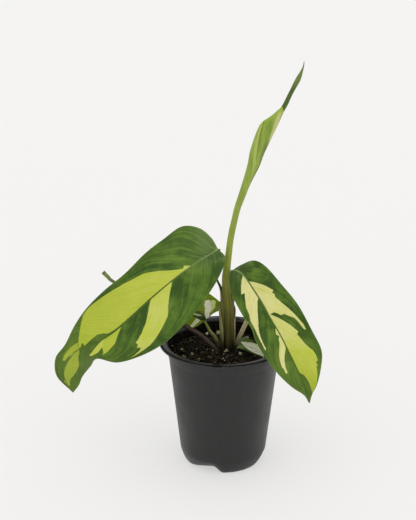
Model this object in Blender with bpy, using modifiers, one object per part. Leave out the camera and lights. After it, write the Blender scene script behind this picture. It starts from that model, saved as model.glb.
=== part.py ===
# A potted ctenanthe: one crown with a rolled young leaf, two large drooping leaves,
# a few small leaves and old stalks, growing in a plain nursery pot.
# The pot's axis is Z, its foot stands on z = 0 and the plant's front is towards -Y.
# Sizes are in millimetres and are turned into metres where points are placed.

import bpy
import bmesh
import math
import random
from mathutils import Vector, noise

MM = 0.001
GAP = 0.3

# Pot
POT_HEIGHT = 115.0
LIP_RADIUS = 57.5
LIP_THICKNESS = 1.7
MOUTH_RADIUS = 52.0
WALL = 1.2
COLLAR_HEIGHT = 13.0
COLLAR_STEP = 0.5
BODY_TOP_RADIUS = 50.6
BODY_FOOT_RADIUS = 38.8
HEEL_HEIGHT = 12.0
HEEL_CURVE = [(37.8, 8.6), (36.3, 4.6), (34.6, 1.6)]
HEEL_RISE = 0.4
FOOT_RADIUS = 32.5
FLOOR = 1.6
POT_STEPS = 64

# Arches in the foot, and the drain holes in them
ARCHES = 3
ARCH_CENTRE = math.radians(244.0)
ARCH_HALF_WIDTH = math.radians(20.0)
ARCH_RAMP = math.radians(20.0)
ARCH_HEIGHT = 5.4
ARCH_INNER_RADIUS = 18.0
ARCH_SLOPE = 5.0
ARCH_CLEAR = 2.0
DRAIN_HOLE_RADIUS = 3.4
DRAIN_HOLE_PLACE = 27.2

# Soil
SOIL_EDGE = 102.6
SOIL_MOUND = 1.8
SOIL_RING = 3.4
SOIL_LUMPS = 1.0
GRAIN_COUNT = 26
GRAIN_SIZE = (0.9, 2.0)
GRAIN_RING = (17.0, 46.0)

# Bundle of stalks in the middle
CROWN = (4.3, 6.2)
CROWN_HOLE = (7.1, 7.2)
CROWN_DEPTH = 82.0
SHEATH_FOOT = (5.6, 6.0)
SHEATH_TOP = (6.9, 6.0)
SHEATH_LEAN = -1.3
SHEATH_TURN = math.radians(6.0)
SHEATH_REACH = math.radians(138.0)
SHEATH_WALL = 0.7
SHEATH_SPAN = (94.0, 149.0)

# Leaf blades
BLADE = 0.6
RIB = 1.6
ROLL_SIDES = 16
ROLL_STEP = 0.10

# Rows along each blade: midrib, left edge and right edge, from the base to the tip,
# left and right as seen when looking along the blade with its upper face up
LEAF_LEFT = [
    ((-5, -3, 202), (-5.6, -2.4, 202.6), (-4.4, -3.8, 201.4)),
    ((-12, -6, 198), (-11, 3, 210), (1, -9, 197)),
    ((-21, -10, 194), (-22, 6, 218), (0, -13, 190)),
    ((-34, -15, 186), (-37, 7, 219), (-7, -22, 178)),
    ((-49, -20, 175), (-53, 5, 208), (-18, -33, 165)),
    ((-64, -25, 163), (-68, 1, 197), (-32, -44, 151)),
    ((-81, -30, 148), (-86, -6, 180), (-49, -53, 136)),
    ((-96, -34, 136), (-103, -14, 168), (-69, -56, 125)),
    ((-109, -35, 128), (-118, -21, 155), (-91, -51, 116)),
    ((-123, -34, 122), (-129, -25, 140), (-109, -41, 115)),
    ((-135, -30, 112), (-138, -26, 122), (-116, -30, 103)),
    ((-141, -24, 97), (-147, -24, 108), (-124, -22, 90)),
    ((-139, -20, 83), (-147, -20, 89), (-128, -19, 80)),
    ((-133.6, -18, 72), (-134, -18, 72.2), (-133.2, -18, 72.2)),
]
LEAF_RIGHT = [
    ((7, -5, 183), (6, -5.4, 182.6), (8, -4.6, 183.4)),
    ((12, -7, 183), (5, -8, 180), (15, -5, 188)),
    ((18, -10, 179), (5, -12, 172), (26, -5, 192)),
    ((25, -18, 171), (8, -19, 163), (36, -12, 189)),
    ((33, -28, 161), (15, -29, 152), (49, -23, 177)),
    ((40, -36, 150), (23, -40, 143), (63, -33, 162)),
    ((48, -43, 138), (27, -49, 134), (75, -40, 141)),
    ((55, -48, 125), (35, -57, 123), (83, -45, 125)),
    ((61, -51, 113), (46, -60, 109), (83, -48, 110)),
    ((67, -52, 100), (58, -58, 96), (80, -49, 94)),
    ((71, -50, 87), (69, -53, 86), (76, -48, 84)),
    ((74, -47.5, 76), (73.6, -47.6, 76.2), (74.4, -47.4, 76.2)),
]
LEAF_SMALL_LEFT = [
    ((-17, 15, 127), (-17.8, 15, 126.2), (-16.2, 15, 127.8)),
    ((-22, 14.6, 134), (-27, 15.5, 120), (-9.4, 14.4, 134.4)),
    ((-29, 14, 142), (-36, 15, 123), (-0.3, 14.2, 141.4)),
    ((-38, 13, 150), (-46, 14, 134), (-13.5, 12.5, 155)),
    ((-48, 11, 158), (-56, 12, 147), (-33, 10, 166)),
    ((-60, 9, 167), (-60.6, 9, 166.4), (-59.4, 9, 167.4)),
]
LEAF_SMALL_RIGHT = [
    ((11.8, 3.4, 106), (11.4, 2.4, 105.8), (12.2, 4.4, 106.2)),
    ((16.5, 1.5, 108.5), (14.5, -3, 106), (17.5, 8.5, 114)),
    ((22.5, -4.5, 109), (20, -9.5, 106), (23.5, 1, 115)),
    ((28, -10.5, 109), (26, -16, 106), (28.8, -6.5, 114.5)),
    ((33, -15.5, 108.5), (31.5, -21, 106.2), (33, -11, 112.5)),
    ((36, -18, 109), (34.8, -22, 107), (36.2, -13.5, 112)),
    ((34.2, -17.5, 111), (33.2, -21.5, 109), (34, -13, 113.8)),
    ((28.5, -13.5, 112.4), (27, -18, 110.2), (29, -9.8, 115)),
    ((22, -8, 113), (20.8, -11.5, 111.4), (22.8, -5.2, 115)),
    ((15.6, -1.8, 113.6), (15.4, -2.2, 113.5), (15.8, -1.4, 113.8)),
]
# Rings along the rolled blade: centre and radius
LEAF_ROLLED = [
    ((12.6, 7.6, 238.8), 2.8),
    ((14.6, 8, 244.5), 3.0),
    ((19.7, 9, 258.6), 3.7),
    ((25.4, 10.5, 273.7), 5.3),
    ((28.1, 11.5, 283.6), 6.1),
    ((32.6, 12.5, 295.7), 6.8),
    ((38.2, 13.5, 307.6), 7.0),
    ((42.6, 14, 313.8), 5.8),
    ((46.6, 14.3, 318.2), 4.0),
    ((49.6, 14.6, 321.6), 2.5),
    ((52.4, 15, 326), 2.0),
    ((57.5, 16, 337.3), 1.9),
    ((62, 16.8, 346), 2.2),
    ((64.6, 17.2, 352), 1.3),
    ((66.4, 17.7, 357), 0.5),
    ((66.8, 18, 361), 0.4),
]

# Routes of the stalks, from the buried end up, each point with its radius
STALKS = {
    "stalk_rolled": [
        ((4.1, 2.4, CROWN_DEPTH), 3.0), ((4.1, 2.4, 103), 3.0), ((4, 2.4, 130), 3.0),
        ((2.9, 2.3, 153), 3.3), ((1.8, 2.6, 170), 3.5), ((2.5, 3.2, 181), 3.1),
        ((3.9, 4, 192), 2.8), ((5.8, 4.9, 208), 2.8), ((8.9, 6, 224), 2.8),
        ((12.5, 7.5, 238.3), 2.8),
    ],
    "stalk_left": [
        ((1.5, 7.7, CROWN_DEPTH), 2.4), ((1.5, 7.7, 103), 2.4), ((1.1, 7.7, 124), 2.6),
        ((0.4, 7.8, 140), 2.5), ((-0.4, 7.5, 150), 2.1), ((-1.7, 7, 158), 1.6),
        ((-3.4, 6, 164), 1.1), ((-5.5, 4.2, 169.5), 0.95), ((-7.4, 2.4, 177), 1.0),
        ((-7.6, 0.6, 187), 1.1), ((-5.6, -0.8, 195.4), 1.3), ((-4, -1.3, 200), 1.4),
    ],
    "stalk_right": [
        ((7, 7.7, CROWN_DEPTH), 2.4), ((7, 7.7, 103), 2.4), ((7.1, 7.7, 128), 2.4),
        ((7, 7.5, 148), 2.3), ((9.5, 5.6, 160), 2.1), ((9.9, 1.5, 170), 2.0),
        ((8.4, -2, 177), 1.8), ((6.6, -3.2, 180.8), 1.5),
    ],
    "stalk_small_left": [
        ((-3.6, 12.5, 92), 2.0), ((-3.6, 12.5, 101), 2.0), ((-4.2, 12.6, 105.6), 1.9),
        ((-7.4, 13, 112), 1.6), ((-12, 13.8, 118), 1.3), ((-16.7, 14.7, 126.6), 1.0),
    ],
    "stalk_small_right": [
        ((12.4, 1.2, 94), 1.1), ((12.4, 1.2, 101), 1.1), ((12.3, 1.4, 103.6), 1.05),
        ((12.1, 1.9, 104.7), 0.8),
    ],
    "stub_left": [
        ((-5, 2.6, 92), 2.2), ((-5, 2.6, 101), 2.2), ((-8, 2.6, 105.6), 2.2),
        ((-20, 2, 118.2), 2.0), ((-35, 1.5, 128.8), 1.8), ((-65, 5, 147.9), 1.5),
        ((-96.7, 9, 166.7), 1.3), ((-102, 10, 171.1), 1.5), ((-106.4, 11, 175.4), 1.7),
    ],
    "stub_right": [
        ((11.1, 13.6, 92), 2.0), ((11.1, 13.6, 101), 2.0), ((12.1, 14, 106), 2.0),
        ((20.8, 18, 125), 1.9), ((24.8, 21, 132.6), 1.8),
    ],
}
CURLED = [
    ((-16.2, 12.4, 129.8), 1.2),
    ((-18.6, 10.4, 132.4), 2.8),
    ((-22, 9.4, 134.6), 2.8),
    ((-26, 9.3, 136.2), 1.9),
    ((-29, 9.5, 137), 0.8),
]

COLOURS = {
    "pot": ((0.045, 0.044, 0.047), 0.45),
    "soil": ((0.018, 0.013, 0.010), 0.95),
    "leaf": ((0.10, 0.22, 0.03), 0.40),
    "leaf_pale": ((0.34, 0.45, 0.14), 0.50),
    "stalk": ((0.20, 0.26, 0.06), 0.50),
    "sheath": ((0.36, 0.36, 0.14), 0.55),
    "old_stalk": ((0.16, 0.11, 0.07), 0.65),
}

for old in list(bpy.data.objects):
    bpy.data.objects.remove(old)
plant = bpy.data.collections.new("potted_ctenanthe")
bpy.context.scene.collection.children.link(plant)
cutters = bpy.data.collections.new("cutters")
bpy.context.scene.collection.children.link(cutters)


def material(name):
    found = bpy.data.materials.get(name)
    if found:
        return found
    colour, roughness = COLOURS[name]
    made = bpy.data.materials.new(name)
    made.use_nodes = True
    shader = made.node_tree.nodes["Principled BSDF"]
    shader.inputs["Base Color"].default_value = (*colour, 1.0)
    shader.inputs["Roughness"].default_value = roughness
    shader.inputs["Metallic"].default_value = 0.0
    return made


def add_object(name, data, finish, collection=plant):
    made = bpy.data.objects.new(name, data)
    if finish:
        data.materials.append(material(finish))
    collection.objects.link(made)
    return made


def mesh_from(bm, name):
    mesh = bpy.data.meshes.new(name)
    bm.to_mesh(mesh)
    bm.free()
    return mesh


def evaluated_mesh(thing):
    bpy.context.view_layer.update()
    graph = bpy.context.evaluated_depsgraph_get()
    return bpy.data.meshes.new_from_object(thing.evaluated_get(graph), depsgraph=graph)


def smooth(value):
    value = min(max(value, 0.0), 1.0)
    return value * value * (3 - 2 * value)


def along_points(points, share):
    # A smooth curve through hand-placed points, share 0 to 1 from the first to the last
    last = len(points) - 1
    place = min(share * last, last - 1e-6)
    index = int(place)
    step = place - index
    here = Vector(points[index])
    there = Vector(points[index + 1])
    before = Vector(points[index - 1]) if index > 0 else 2 * here - there
    after = Vector(points[index + 2]) if index + 2 <= last else 2 * there - here
    return 0.5 * (
        2 * here
        + (there - before) * step
        + (2 * before - 5 * here + 4 * there - after) * step**2
        + (3 * here - before - 3 * there + after) * step**3
    )


def body_radius(height):
    share = (height - HEEL_HEIGHT) / (POT_HEIGHT - HEEL_HEIGHT)
    return BODY_FOOT_RADIUS + (BODY_TOP_RADIUS - BODY_FOOT_RADIUS) * share


def arch_lift(radius, angle, height, wider=0.0):
    # How far the foot is raised in an arch, fading out at the heel
    turn = 2 * math.pi / ARCHES
    nearest = abs((angle - ARCH_CENTRE + turn / 2) % turn - turn / 2)
    side = smooth((ARCH_HALF_WIDTH + wider / radius + ARCH_RAMP / 2 - nearest) / ARCH_RAMP)
    outward = smooth((radius + wider - ARCH_INNER_RADIUS) / ARCH_SLOPE)
    low = min(max((HEEL_HEIGHT - height) / (HEEL_HEIGHT - FLOOR), 0.0), 1.0)
    return ARCH_HEIGHT * side * outward * low


def turned(name, profile, steps):
    # The profile runs from the axis outwards and back to the axis, as radius and height
    bm = bmesh.new()
    points = [bm.verts.new((radius * MM, 0, height * MM)) for radius, height in profile]
    for first, second in zip(points, points[1:]):
        bm.edges.new((first, second))
    made = add_object(name, mesh_from(bm, name), None)
    screw = made.modifiers.new("turn", "SCREW")
    screw.steps = steps
    screw.render_steps = steps
    screw.use_merge_vertices = True
    screw.merge_threshold = 0.00001
    mesh = evaluated_mesh(made)
    bpy.data.objects.remove(made)
    return mesh


def cylinder(name, start, end, radii, sides=20):
    # A cutter from start to end, round or oval
    start = Vector(start) * MM
    end = Vector(end) * MM
    bm = bmesh.new()
    bmesh.ops.create_cone(bm, cap_ends=True, segments=sides, radius1=1, radius2=1, depth=1)
    for vert in bm.verts:
        vert.co.x *= radii[0] * MM
        vert.co.y *= radii[1] * MM
        vert.co.z *= (end - start).length
    made = add_object(name, mesh_from(bm, name), None, cutters)
    made.location = (start + end) / 2
    made.rotation_euler = (end - start).to_track_quat("Z", "Y").to_euler()
    made.hide_render = True
    made.display_type = "WIRE"
    return made


def cut(thing, cutter):
    hole = thing.modifiers.new(cutter.name, "BOOLEAN")
    hole.operation = "DIFFERENCE"
    hole.solver = "EXACT"
    hole.object = cutter


def make_pot():
    collar = POT_HEIGHT - COLLAR_HEIGHT
    lip_under = POT_HEIGHT - LIP_THICKNESS
    profile = [
        (0, FLOOR),
        (ARCH_INNER_RADIUS - 1, FLOOR),
        (ARCH_INNER_RADIUS + 1.5, FLOOR),
        (ARCH_INNER_RADIUS + 5, FLOOR),
        (FOOT_RADIUS - 2, FLOOR),
        *((radius - WALL, height + HEEL_RISE) for radius, height in reversed(HEEL_CURVE)),
        (BODY_FOOT_RADIUS - WALL, HEEL_HEIGHT),
        (body_radius(60) - WALL, 60),
        (body_radius(collar) - WALL, collar),
        (body_radius(lip_under) + COLLAR_STEP - WALL, lip_under - 0.6),
        (MOUTH_RADIUS - 0.9, POT_HEIGHT - 0.7),
        (MOUTH_RADIUS, POT_HEIGHT),
        (LIP_RADIUS - 0.5, POT_HEIGHT),
        (LIP_RADIUS, POT_HEIGHT - 0.5),
        (LIP_RADIUS, lip_under + 0.4),
        (LIP_RADIUS - 0.4, lip_under),
        (body_radius(lip_under) + COLLAR_STEP, lip_under),
        (body_radius(collar + 0.6) + COLLAR_STEP, collar + 0.6),
        (body_radius(collar), collar),
        (body_radius(60), 60),
        (BODY_FOOT_RADIUS, HEEL_HEIGHT),
        *HEEL_CURVE,
        (FOOT_RADIUS, 0),
        (ARCH_INNER_RADIUS + 5, 0),
        (ARCH_INNER_RADIUS + 1.5, 0),
        (ARCH_INNER_RADIUS - 1, 0),
        (0, 0),
    ]
    mesh = turned("pot_turned", profile, POT_STEPS)
    for vert in mesh.vertices:
        radius = math.hypot(vert.co.x, vert.co.y) / MM
        if radius > 1:
            angle = math.atan2(vert.co.y, vert.co.x)
            vert.co.z += arch_lift(radius, angle, vert.co.z / MM) * MM
    pot = add_object("pot", mesh, "pot")
    for index in range(ARCHES):
        angle = ARCH_CENTRE + index * 2 * math.pi / ARCHES
        x = DRAIN_HOLE_PLACE * math.cos(angle)
        y = DRAIN_HOLE_PLACE * math.sin(angle)
        hole = cylinder(f"drain_{index}", (x, y, -3), (x, y, 15), (DRAIN_HOLE_RADIUS,) * 2, 16)
        cut(pot, hole)
    mesh.shade_smooth()
    mesh.set_sharp_from_angle(angle=math.radians(35))


def soil_height(x, y):
    radius = math.hypot(x, y)
    inner = body_radius(SOIL_EDGE) - WALL
    mound = SOIL_MOUND * smooth(1 - radius / inner)
    lumps = noise.fractal(Vector((x, y, 3.0)) * 0.16, 0.7, 2.2, 3)
    fade = smooth((inner - radius) / 6) * (0.3 + 0.7 * smooth((radius - 8) / 8))
    return SOIL_EDGE + mound + SOIL_LUMPS * lumps * fade


def make_soil():
    rim = body_radius(SOIL_EDGE) - WALL - GAP
    rings = int(rim / SOIL_RING)
    profile = [(0, SOIL_EDGE)]
    profile += [(rim * (index + 1) / (rings + 1), SOIL_EDGE) for index in range(rings)]
    profile += [
        (rim, SOIL_EDGE),
        (body_radius(60) - WALL - GAP, 60),
        (BODY_FOOT_RADIUS - WALL - GAP, HEEL_HEIGHT + GAP),
        *((radius - WALL - GAP, height + HEEL_RISE + GAP) for radius, height in HEEL_CURVE),
        (FOOT_RADIUS - 2, FLOOR + GAP),
        (ARCH_INNER_RADIUS + 5, FLOOR + GAP),
        (ARCH_INNER_RADIUS + 1.5, FLOOR + GAP),
        (ARCH_INNER_RADIUS - 1, FLOOR + GAP),
        (0, FLOOR + GAP),
    ]
    mesh = turned("soil_turned", profile, POT_STEPS)
    for vert in mesh.vertices:
        x = vert.co.x / MM
        y = vert.co.y / MM
        z = vert.co.z / MM
        if z > SOIL_EDGE - 0.1:
            vert.co.z = soil_height(x, y) * MM
        elif z < HEEL_HEIGHT and math.hypot(x, y) > 1:
            lift = arch_lift(math.hypot(x, y), math.atan2(y, x), z - GAP, ARCH_CLEAR)
            vert.co.z += lift * (1 + ARCH_CLEAR / 16) * MM
    soil = add_object("soil", mesh, "soil")
    add_grains(soil)
    inner = (*CROWN, CROWN_DEPTH - GAP)
    cut(soil, cylinder("crown_hole", inner, (*CROWN, POT_HEIGHT), CROWN_HOLE, 28))
    for name in ("stalk_small_left", "stalk_small_right", "stub_left", "stub_right"):
        (x, y, z), radius = STALKS[name][0]
        reach = (radius + GAP + 0.1,) * 2
        cut(soil, cylinder(name + "_hole", (x, y, z - GAP), (x, y, POT_HEIGHT), reach, 14))
    for name in ("stalk_small_left", "stalk_small_right", "stub_left", "stub_right"):
        (start, radius), (end, _) = STALKS[name][1], STALKS[name][2]
        lean = (Vector(end) - Vector(start)) * 1.5
        reach = (radius + GAP + 0.1,) * 2
        begin = Vector(start) - 0.3 * lean.normalized()
        cut(soil, cylinder(name + "_lean", begin, Vector(start) + lean, reach, 14))
    mesh = evaluated_mesh(soil)
    bpy.data.objects.remove(soil)
    add_object("soil", mesh, None)


def add_grains(soil):
    # White grains lie half sunk in the top of the soil, clear of the stalks
    random.seed(11)
    grains = bpy.data.collections.new("grains")
    bpy.context.scene.collection.children.link(grains)
    placed = []
    while len(placed) < GRAIN_COUNT:
        reach = random.uniform(*GRAIN_RING)
        angle = random.uniform(0, 2 * math.pi)
        size = random.uniform(*GRAIN_SIZE)
        spot = Vector((reach * math.cos(angle), reach * math.sin(angle)))
        if any((spot - other).length < 6 for other in placed):
            continue
        placed.append(spot)
        bm = bmesh.new()
        bmesh.ops.create_icosphere(bm, subdivisions=1, radius=size * MM)
        for vert in bm.verts:
            vert.co.z *= 0.75
            vert.co += Vector((spot.x, spot.y, soil_height(*spot) - 0.1 * size)) * MM
        add_object(f"grain_{len(placed)}", mesh_from(bm, "grain"), None, grains)
    union = soil.modifiers.new("grains", "BOOLEAN")
    union.operation = "UNION"
    union.solver = "EXACT"
    union.operand_type = "COLLECTION"
    union.collection = grains
    mesh = evaluated_mesh(soil)
    soil.modifiers.clear()
    soil.data = mesh
    for grain in list(grains.objects):
        bpy.data.objects.remove(grain)
    bpy.data.collections.remove(grains)


def make_stalk(name, finish, steps, resolution=3):
    # A tapering tube with closed ends along the stalk's route
    route = [point for point, _ in STALKS[name]]
    radii = [(radius, 0, 0) for _, radius in STALKS[name]]
    curve = bpy.data.curves.new(name, "CURVE")
    curve.dimensions = "3D"
    curve.fill_mode = "FULL"
    curve.bevel_depth = MM
    curve.bevel_resolution = resolution
    curve.use_fill_caps = True
    spline = curve.splines.new("POLY")
    spline.points.add(steps)
    for index, point in enumerate(spline.points):
        share = index / steps
        point.co = (*(along_points(route, share) * MM), 1)
        point.radius = along_points(radii, share).x
    made = add_object(name + "_curve", curve, None)
    mesh = evaluated_mesh(made)
    bpy.data.objects.remove(made)
    bm = bmesh.new()
    bm.from_mesh(mesh)
    bmesh.ops.remove_doubles(bm, verts=bm.verts, dist=0.00001)
    tube = mesh_from(bm, name)
    add_object(name, tube, finish)
    tube.shade_smooth()
    tube.set_sharp_from_angle(angle=math.radians(50))


def blade_point(rows, share, side, cup, waves, wave):
    # share runs along the midrib, side from -1 at the left edge to 1 at the right edge
    mids = [row[0] for row in rows]
    edges = [row[1] if side < 0 else row[2] for row in rows]
    mid = along_points(mids, share)
    half = along_points(edges, share) - mid
    ahead = along_points(mids, min(share + 0.02, 1)) - along_points(mids, max(share - 0.02, 0))
    face = ahead.cross(half) * (-1 if side < 0 else 1)
    reach = abs(side)
    rise = cup * 4 * reach * (1 - reach) + wave * reach**2 * math.sin(2 * math.pi * waves * share)
    return mid + half * reach + face.normalized() * half.length * rise


def make_blade(name, rows, finish, lengthwise, across, cup=0.05, waves=0.0, wave=0.0, rib=RIB):
    # The upper face is a grid moved onto the rows, its thickness lies below it
    bm = bmesh.new()
    bmesh.ops.create_grid(bm, x_segments=lengthwise, y_segments=across, size=1)
    layer = bm.verts.layers.deform.verify()
    least = BLADE / rib
    tip = []
    for vert in bm.verts:
        share = (vert.co.x + 1) / 2
        side = vert.co.y
        if share > 0.9999:
            tip.append(vert)
        on_rib = abs(side) < 0.5 / across
        vert[layer][0] = least + (1 - least) * (1 - share) if on_rib else least
        vert.co = blade_point(rows, share, side, cup, waves, wave) * MM
    bmesh.ops.triangulate(bm, faces=bm.faces)
    bmesh.ops.pointmerge(bm, verts=tip, merge_co=along_points([row[0] for row in rows], 1) * MM)
    blade = add_object(name, mesh_from(bm, name), finish)
    blade.vertex_groups.new(name="thickness")
    blade.data.shade_smooth()
    wall = blade.modifiers.new("thickness", "SOLIDIFY")
    wall.thickness = rib * MM
    wall.offset = -1
    wall.vertex_group = "thickness"
    wall.use_quality_normals = True


def make_rolled(name, rings, finish, step=ROLL_STEP, rounds=2):
    # A rolled blade: rings whose radius grows round them, so its free edge stands proud
    centres = [centre for centre, _ in rings]
    radii = [(radius, 0, 0) for _, radius in rings]
    count = rounds * (len(rings) - 1)
    bm = bmesh.new()
    loops = []
    for index in range(count + 1):
        share = index / count
        centre = along_points(centres, share)
        radius = along_points(radii, share).x
        ahead = (
            along_points(centres, min(share + 0.02, 1)) - along_points(centres, max(share - 0.02, 0))
        ).normalized()
        front = (Vector((0, -1, 0)) + ahead.y * ahead).normalized()
        beside = ahead.cross(front)
        loop = []
        for corner in range(ROLL_SIDES):
            angle = 2 * math.pi * corner / ROLL_SIDES
            reach = radius * (1 + step * (corner / (ROLL_SIDES - 1) - 0.5))
            spot = centre + reach * (math.cos(angle) * beside + math.sin(angle) * front)
            loop.append(bm.verts.new(spot * MM))
        loops.append(loop)
    for lower, upper in zip(loops, loops[1:]):
        for corner in range(ROLL_SIDES):
            beyond = (corner + 1) % ROLL_SIDES
            bm.faces.new((lower[corner], lower[beyond], upper[beyond], upper[corner]))
    bm.faces.new(list(reversed(loops[0])))
    bm.faces.new(loops[-1])
    bmesh.ops.recalc_face_normals(bm, faces=bm.faces)
    mesh = mesh_from(bm, name)
    add_object(name, mesh, finish)
    mesh.shade_smooth()
    mesh.set_sharp_from_angle(angle=math.radians(50))


def make_sheath():
    # An open shell round the back of the bundle, cut back towards its top
    bm = bmesh.new()
    bmesh.ops.create_grid(bm, x_segments=18, y_segments=8, size=1)
    low, high = SHEATH_SPAN
    for vert in bm.verts:
        up = (vert.co.y + 1) / 2
        reach = SHEATH_REACH - math.radians(10 * up + 52 * up**10)
        angle = math.pi / 2 + SHEATH_TURN + vert.co.x * reach
        wide = SHEATH_FOOT[0] + (SHEATH_TOP[0] - SHEATH_FOOT[0]) * up
        deep = SHEATH_FOOT[1] + (SHEATH_TOP[1] - SHEATH_FOOT[1]) * up
        x = CROWN[0] + SHEATH_LEAN * up + wide * math.cos(angle)
        y = CROWN[1] + deep * math.sin(angle)
        vert.co = Vector((x, y, low + (high - low) * up)) * MM
    bmesh.ops.triangulate(bm, faces=bm.faces)
    sheath = add_object("sheath", mesh_from(bm, "sheath"), "sheath")
    sheath.data.shade_smooth()
    wall = sheath.modifiers.new("thickness", "SOLIDIFY")
    wall.thickness = SHEATH_WALL * MM
    wall.offset = 1
    wall.use_even_offset = True


make_pot()
make_soil()
make_sheath()
make_stalk("stalk_left", "stalk", 20)
make_stalk("stalk_rolled", "stalk", 14)
make_stalk("stalk_right", "stalk", 15)
make_stalk("stalk_small_left", "stalk", 9, 2)
make_stalk("stalk_small_right", "stalk", 7, 2)
make_stalk("stub_left", "old_stalk", 14, 2)
make_stalk("stub_right", "old_stalk", 8, 2)
make_blade("leaf_left", LEAF_LEFT, "leaf", 30, 12, 0.05, 2.5, 0.02)
make_blade("leaf_right", LEAF_RIGHT, "leaf", 24, 10, 0.06, 2.0, 0.02)
make_blade("leaf_small_left", LEAF_SMALL_LEFT, "leaf_pale", 12, 8, 0.06, rib=1.0)
make_blade("leaf_small_right", LEAF_SMALL_RIGHT, "leaf", 20, 8, 0.05, rib=0.9)
make_rolled("leaf_rolled", LEAF_ROLLED, "leaf_pale", rounds=1)
make_rolled("leaf_small_curled", CURLED, "leaf", step=0.2)
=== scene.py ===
import bpy
import math
import random
import numpy as np
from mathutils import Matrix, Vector, noise


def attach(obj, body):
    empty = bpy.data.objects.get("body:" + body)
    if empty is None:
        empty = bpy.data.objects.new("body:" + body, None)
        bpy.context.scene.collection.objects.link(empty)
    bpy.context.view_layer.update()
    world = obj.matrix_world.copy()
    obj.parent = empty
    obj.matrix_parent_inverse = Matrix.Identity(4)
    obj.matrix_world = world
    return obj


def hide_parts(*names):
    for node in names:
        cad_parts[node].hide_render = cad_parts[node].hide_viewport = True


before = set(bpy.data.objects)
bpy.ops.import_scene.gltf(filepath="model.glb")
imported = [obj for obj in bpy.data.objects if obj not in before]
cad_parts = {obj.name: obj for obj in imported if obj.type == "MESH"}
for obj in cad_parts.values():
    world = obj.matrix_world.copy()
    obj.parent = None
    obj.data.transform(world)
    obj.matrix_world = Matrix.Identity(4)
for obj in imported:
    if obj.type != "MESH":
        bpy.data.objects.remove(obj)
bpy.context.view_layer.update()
mm = 0.001


# helpers used by every piece

def clearSelection():
    if bpy.context.object and bpy.context.object.mode != "OBJECT":
        bpy.ops.object.mode_set(mode="OBJECT")
    bpy.ops.object.select_all(action="DESELECT")


def pick(piece):
    clearSelection()
    piece.select_set(True)
    bpy.context.view_layer.objects.active = piece


def named(name):
    piece = bpy.context.active_object
    piece.name = name
    piece.data.name = name
    return piece


def applyModifiers(piece):
    pick(piece)
    for modifier in list(piece.modifiers):
        bpy.ops.object.modifier_apply(modifier=modifier.name)


def joinAll(name, pieces):
    pick(pieces[0])
    for piece in pieces:
        piece.select_set(True)
    bpy.ops.object.join()
    return named(name)


def editMesh(piece, change, **options):
    pick(piece)
    bpy.ops.object.mode_set(mode="EDIT")
    bpy.ops.mesh.select_all(action="SELECT")
    change(**options)
    bpy.ops.object.mode_set(mode="OBJECT")


def mergeClose(piece, distance):
    editMesh(piece, bpy.ops.mesh.remove_doubles, threshold=distance * mm)


def faceOutwards(piece):
    editMesh(piece, bpy.ops.mesh.normals_make_consistent, inside=False)


def thicken(piece, thickness, offset=-1, **options):
    shell = piece.modifiers.new("thickness", "SOLIDIFY")
    shell.thickness = thickness * mm
    shell.offset = offset
    for name, value in options.items():
        setattr(shell, name, value)
    applyModifiers(piece)


def smoothShade(piece, degrees=180):
    pick(piece)
    if degrees < 180:
        bpy.ops.object.shade_smooth_by_angle(angle=math.radians(degrees))
    else:
        bpy.ops.object.shade_smooth()


def readPoints(piece):
    flat = np.empty(len(piece.data.vertices) * 3)
    piece.data.vertices.foreach_get("co", flat)
    return flat.reshape(-1, 3) / mm


def writePoints(piece, points):
    piece.data.vertices.foreach_set("co", (np.asarray(points) * mm).ravel())
    piece.data.update()


def store(piece, **values):
    # numbers that each point keeps for the materials
    for name, amounts in values.items():
        layer = piece.data.attributes.get(name) or piece.data.attributes.new(name, "FLOAT", "POINT")
        layer.data.foreach_set("value", np.asarray(amounts, np.float32))


def makeGrid(name, cells):
    # a flat grid to lay in place, with both coordinates of its points from -1 to 1
    clearSelection()
    bpy.ops.mesh.primitive_grid_add(x_subdivisions=cells[0], y_subdivisions=cells[1], size=2)
    piece = named(name)
    flat = readPoints(piece) * mm
    return piece, flat[:, 0], flat[:, 1]


def polar(points):
    return np.hypot(points[:, 0], points[:, 1]), np.arctan2(points[:, 1], points[:, 0])


def extrudeRings(radius, height, rings, level=False):
    # the selected ring grows ring by ring, with its first copy made level if asked
    for nextRadius, nextHeight in rings:
        grow = nextRadius / radius
        rise = (nextHeight - height) * mm
        bpy.ops.mesh.extrude_region_move(TRANSFORM_OT_translate={"value": (0, 0, rise)})
        bpy.ops.transform.resize(
            value=(grow, grow, 0 if level else 1), center_override=(0, 0, nextHeight * mm)
        )
        radius, height, level = nextRadius, nextHeight, False


def closeRing():
    # a fan of faces round one point
    bpy.ops.mesh.extrude_region_move(TRANSFORM_OT_translate={"value": (0, 0, 0)})
    bpy.ops.mesh.merge(type="CENTER")


def finish(piece, material, slot, *nodes):
    piece.data.materials.clear()
    piece.data.materials.append(material)
    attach(piece, "root")
    if nodes:
        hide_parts(*nodes)


def smooth(value):
    value = np.clip(value, 0.0, 1.0)
    return value * value * (3 - 2 * value)


def smoothCurve(points, shares):
    # a smooth line through given points, shares 0 to 1 from the first to the last
    points = np.asarray(points, float)
    last = len(points) - 1
    place = np.clip(np.asarray(shares, float) * last, 0, last - 1e-6)
    index = place.astype(int)
    step = (place - index)[:, None]
    padded = np.vstack([2 * points[0] - points[1], points, 2 * points[-1] - points[-2]])
    before, here, there, after = (padded[index + k] for k in range(4))
    return 0.5 * (
        2 * here
        + (there - before) * step
        + (2 * before - 5 * here + 4 * there - after) * step**2
        + (3 * here - before - 3 * there + after) * step**3
    )


def headings(points, shares):
    # where the smooth line goes at each share
    behind = smoothCurve(points, np.maximum(shares - 0.02, 0))
    return smoothCurve(points, np.minimum(shares + 0.02, 1)) - behind


def unit(directions):
    return directions / np.maximum(np.linalg.norm(directions, axis=1), 1e-9)[:, None]


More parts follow.
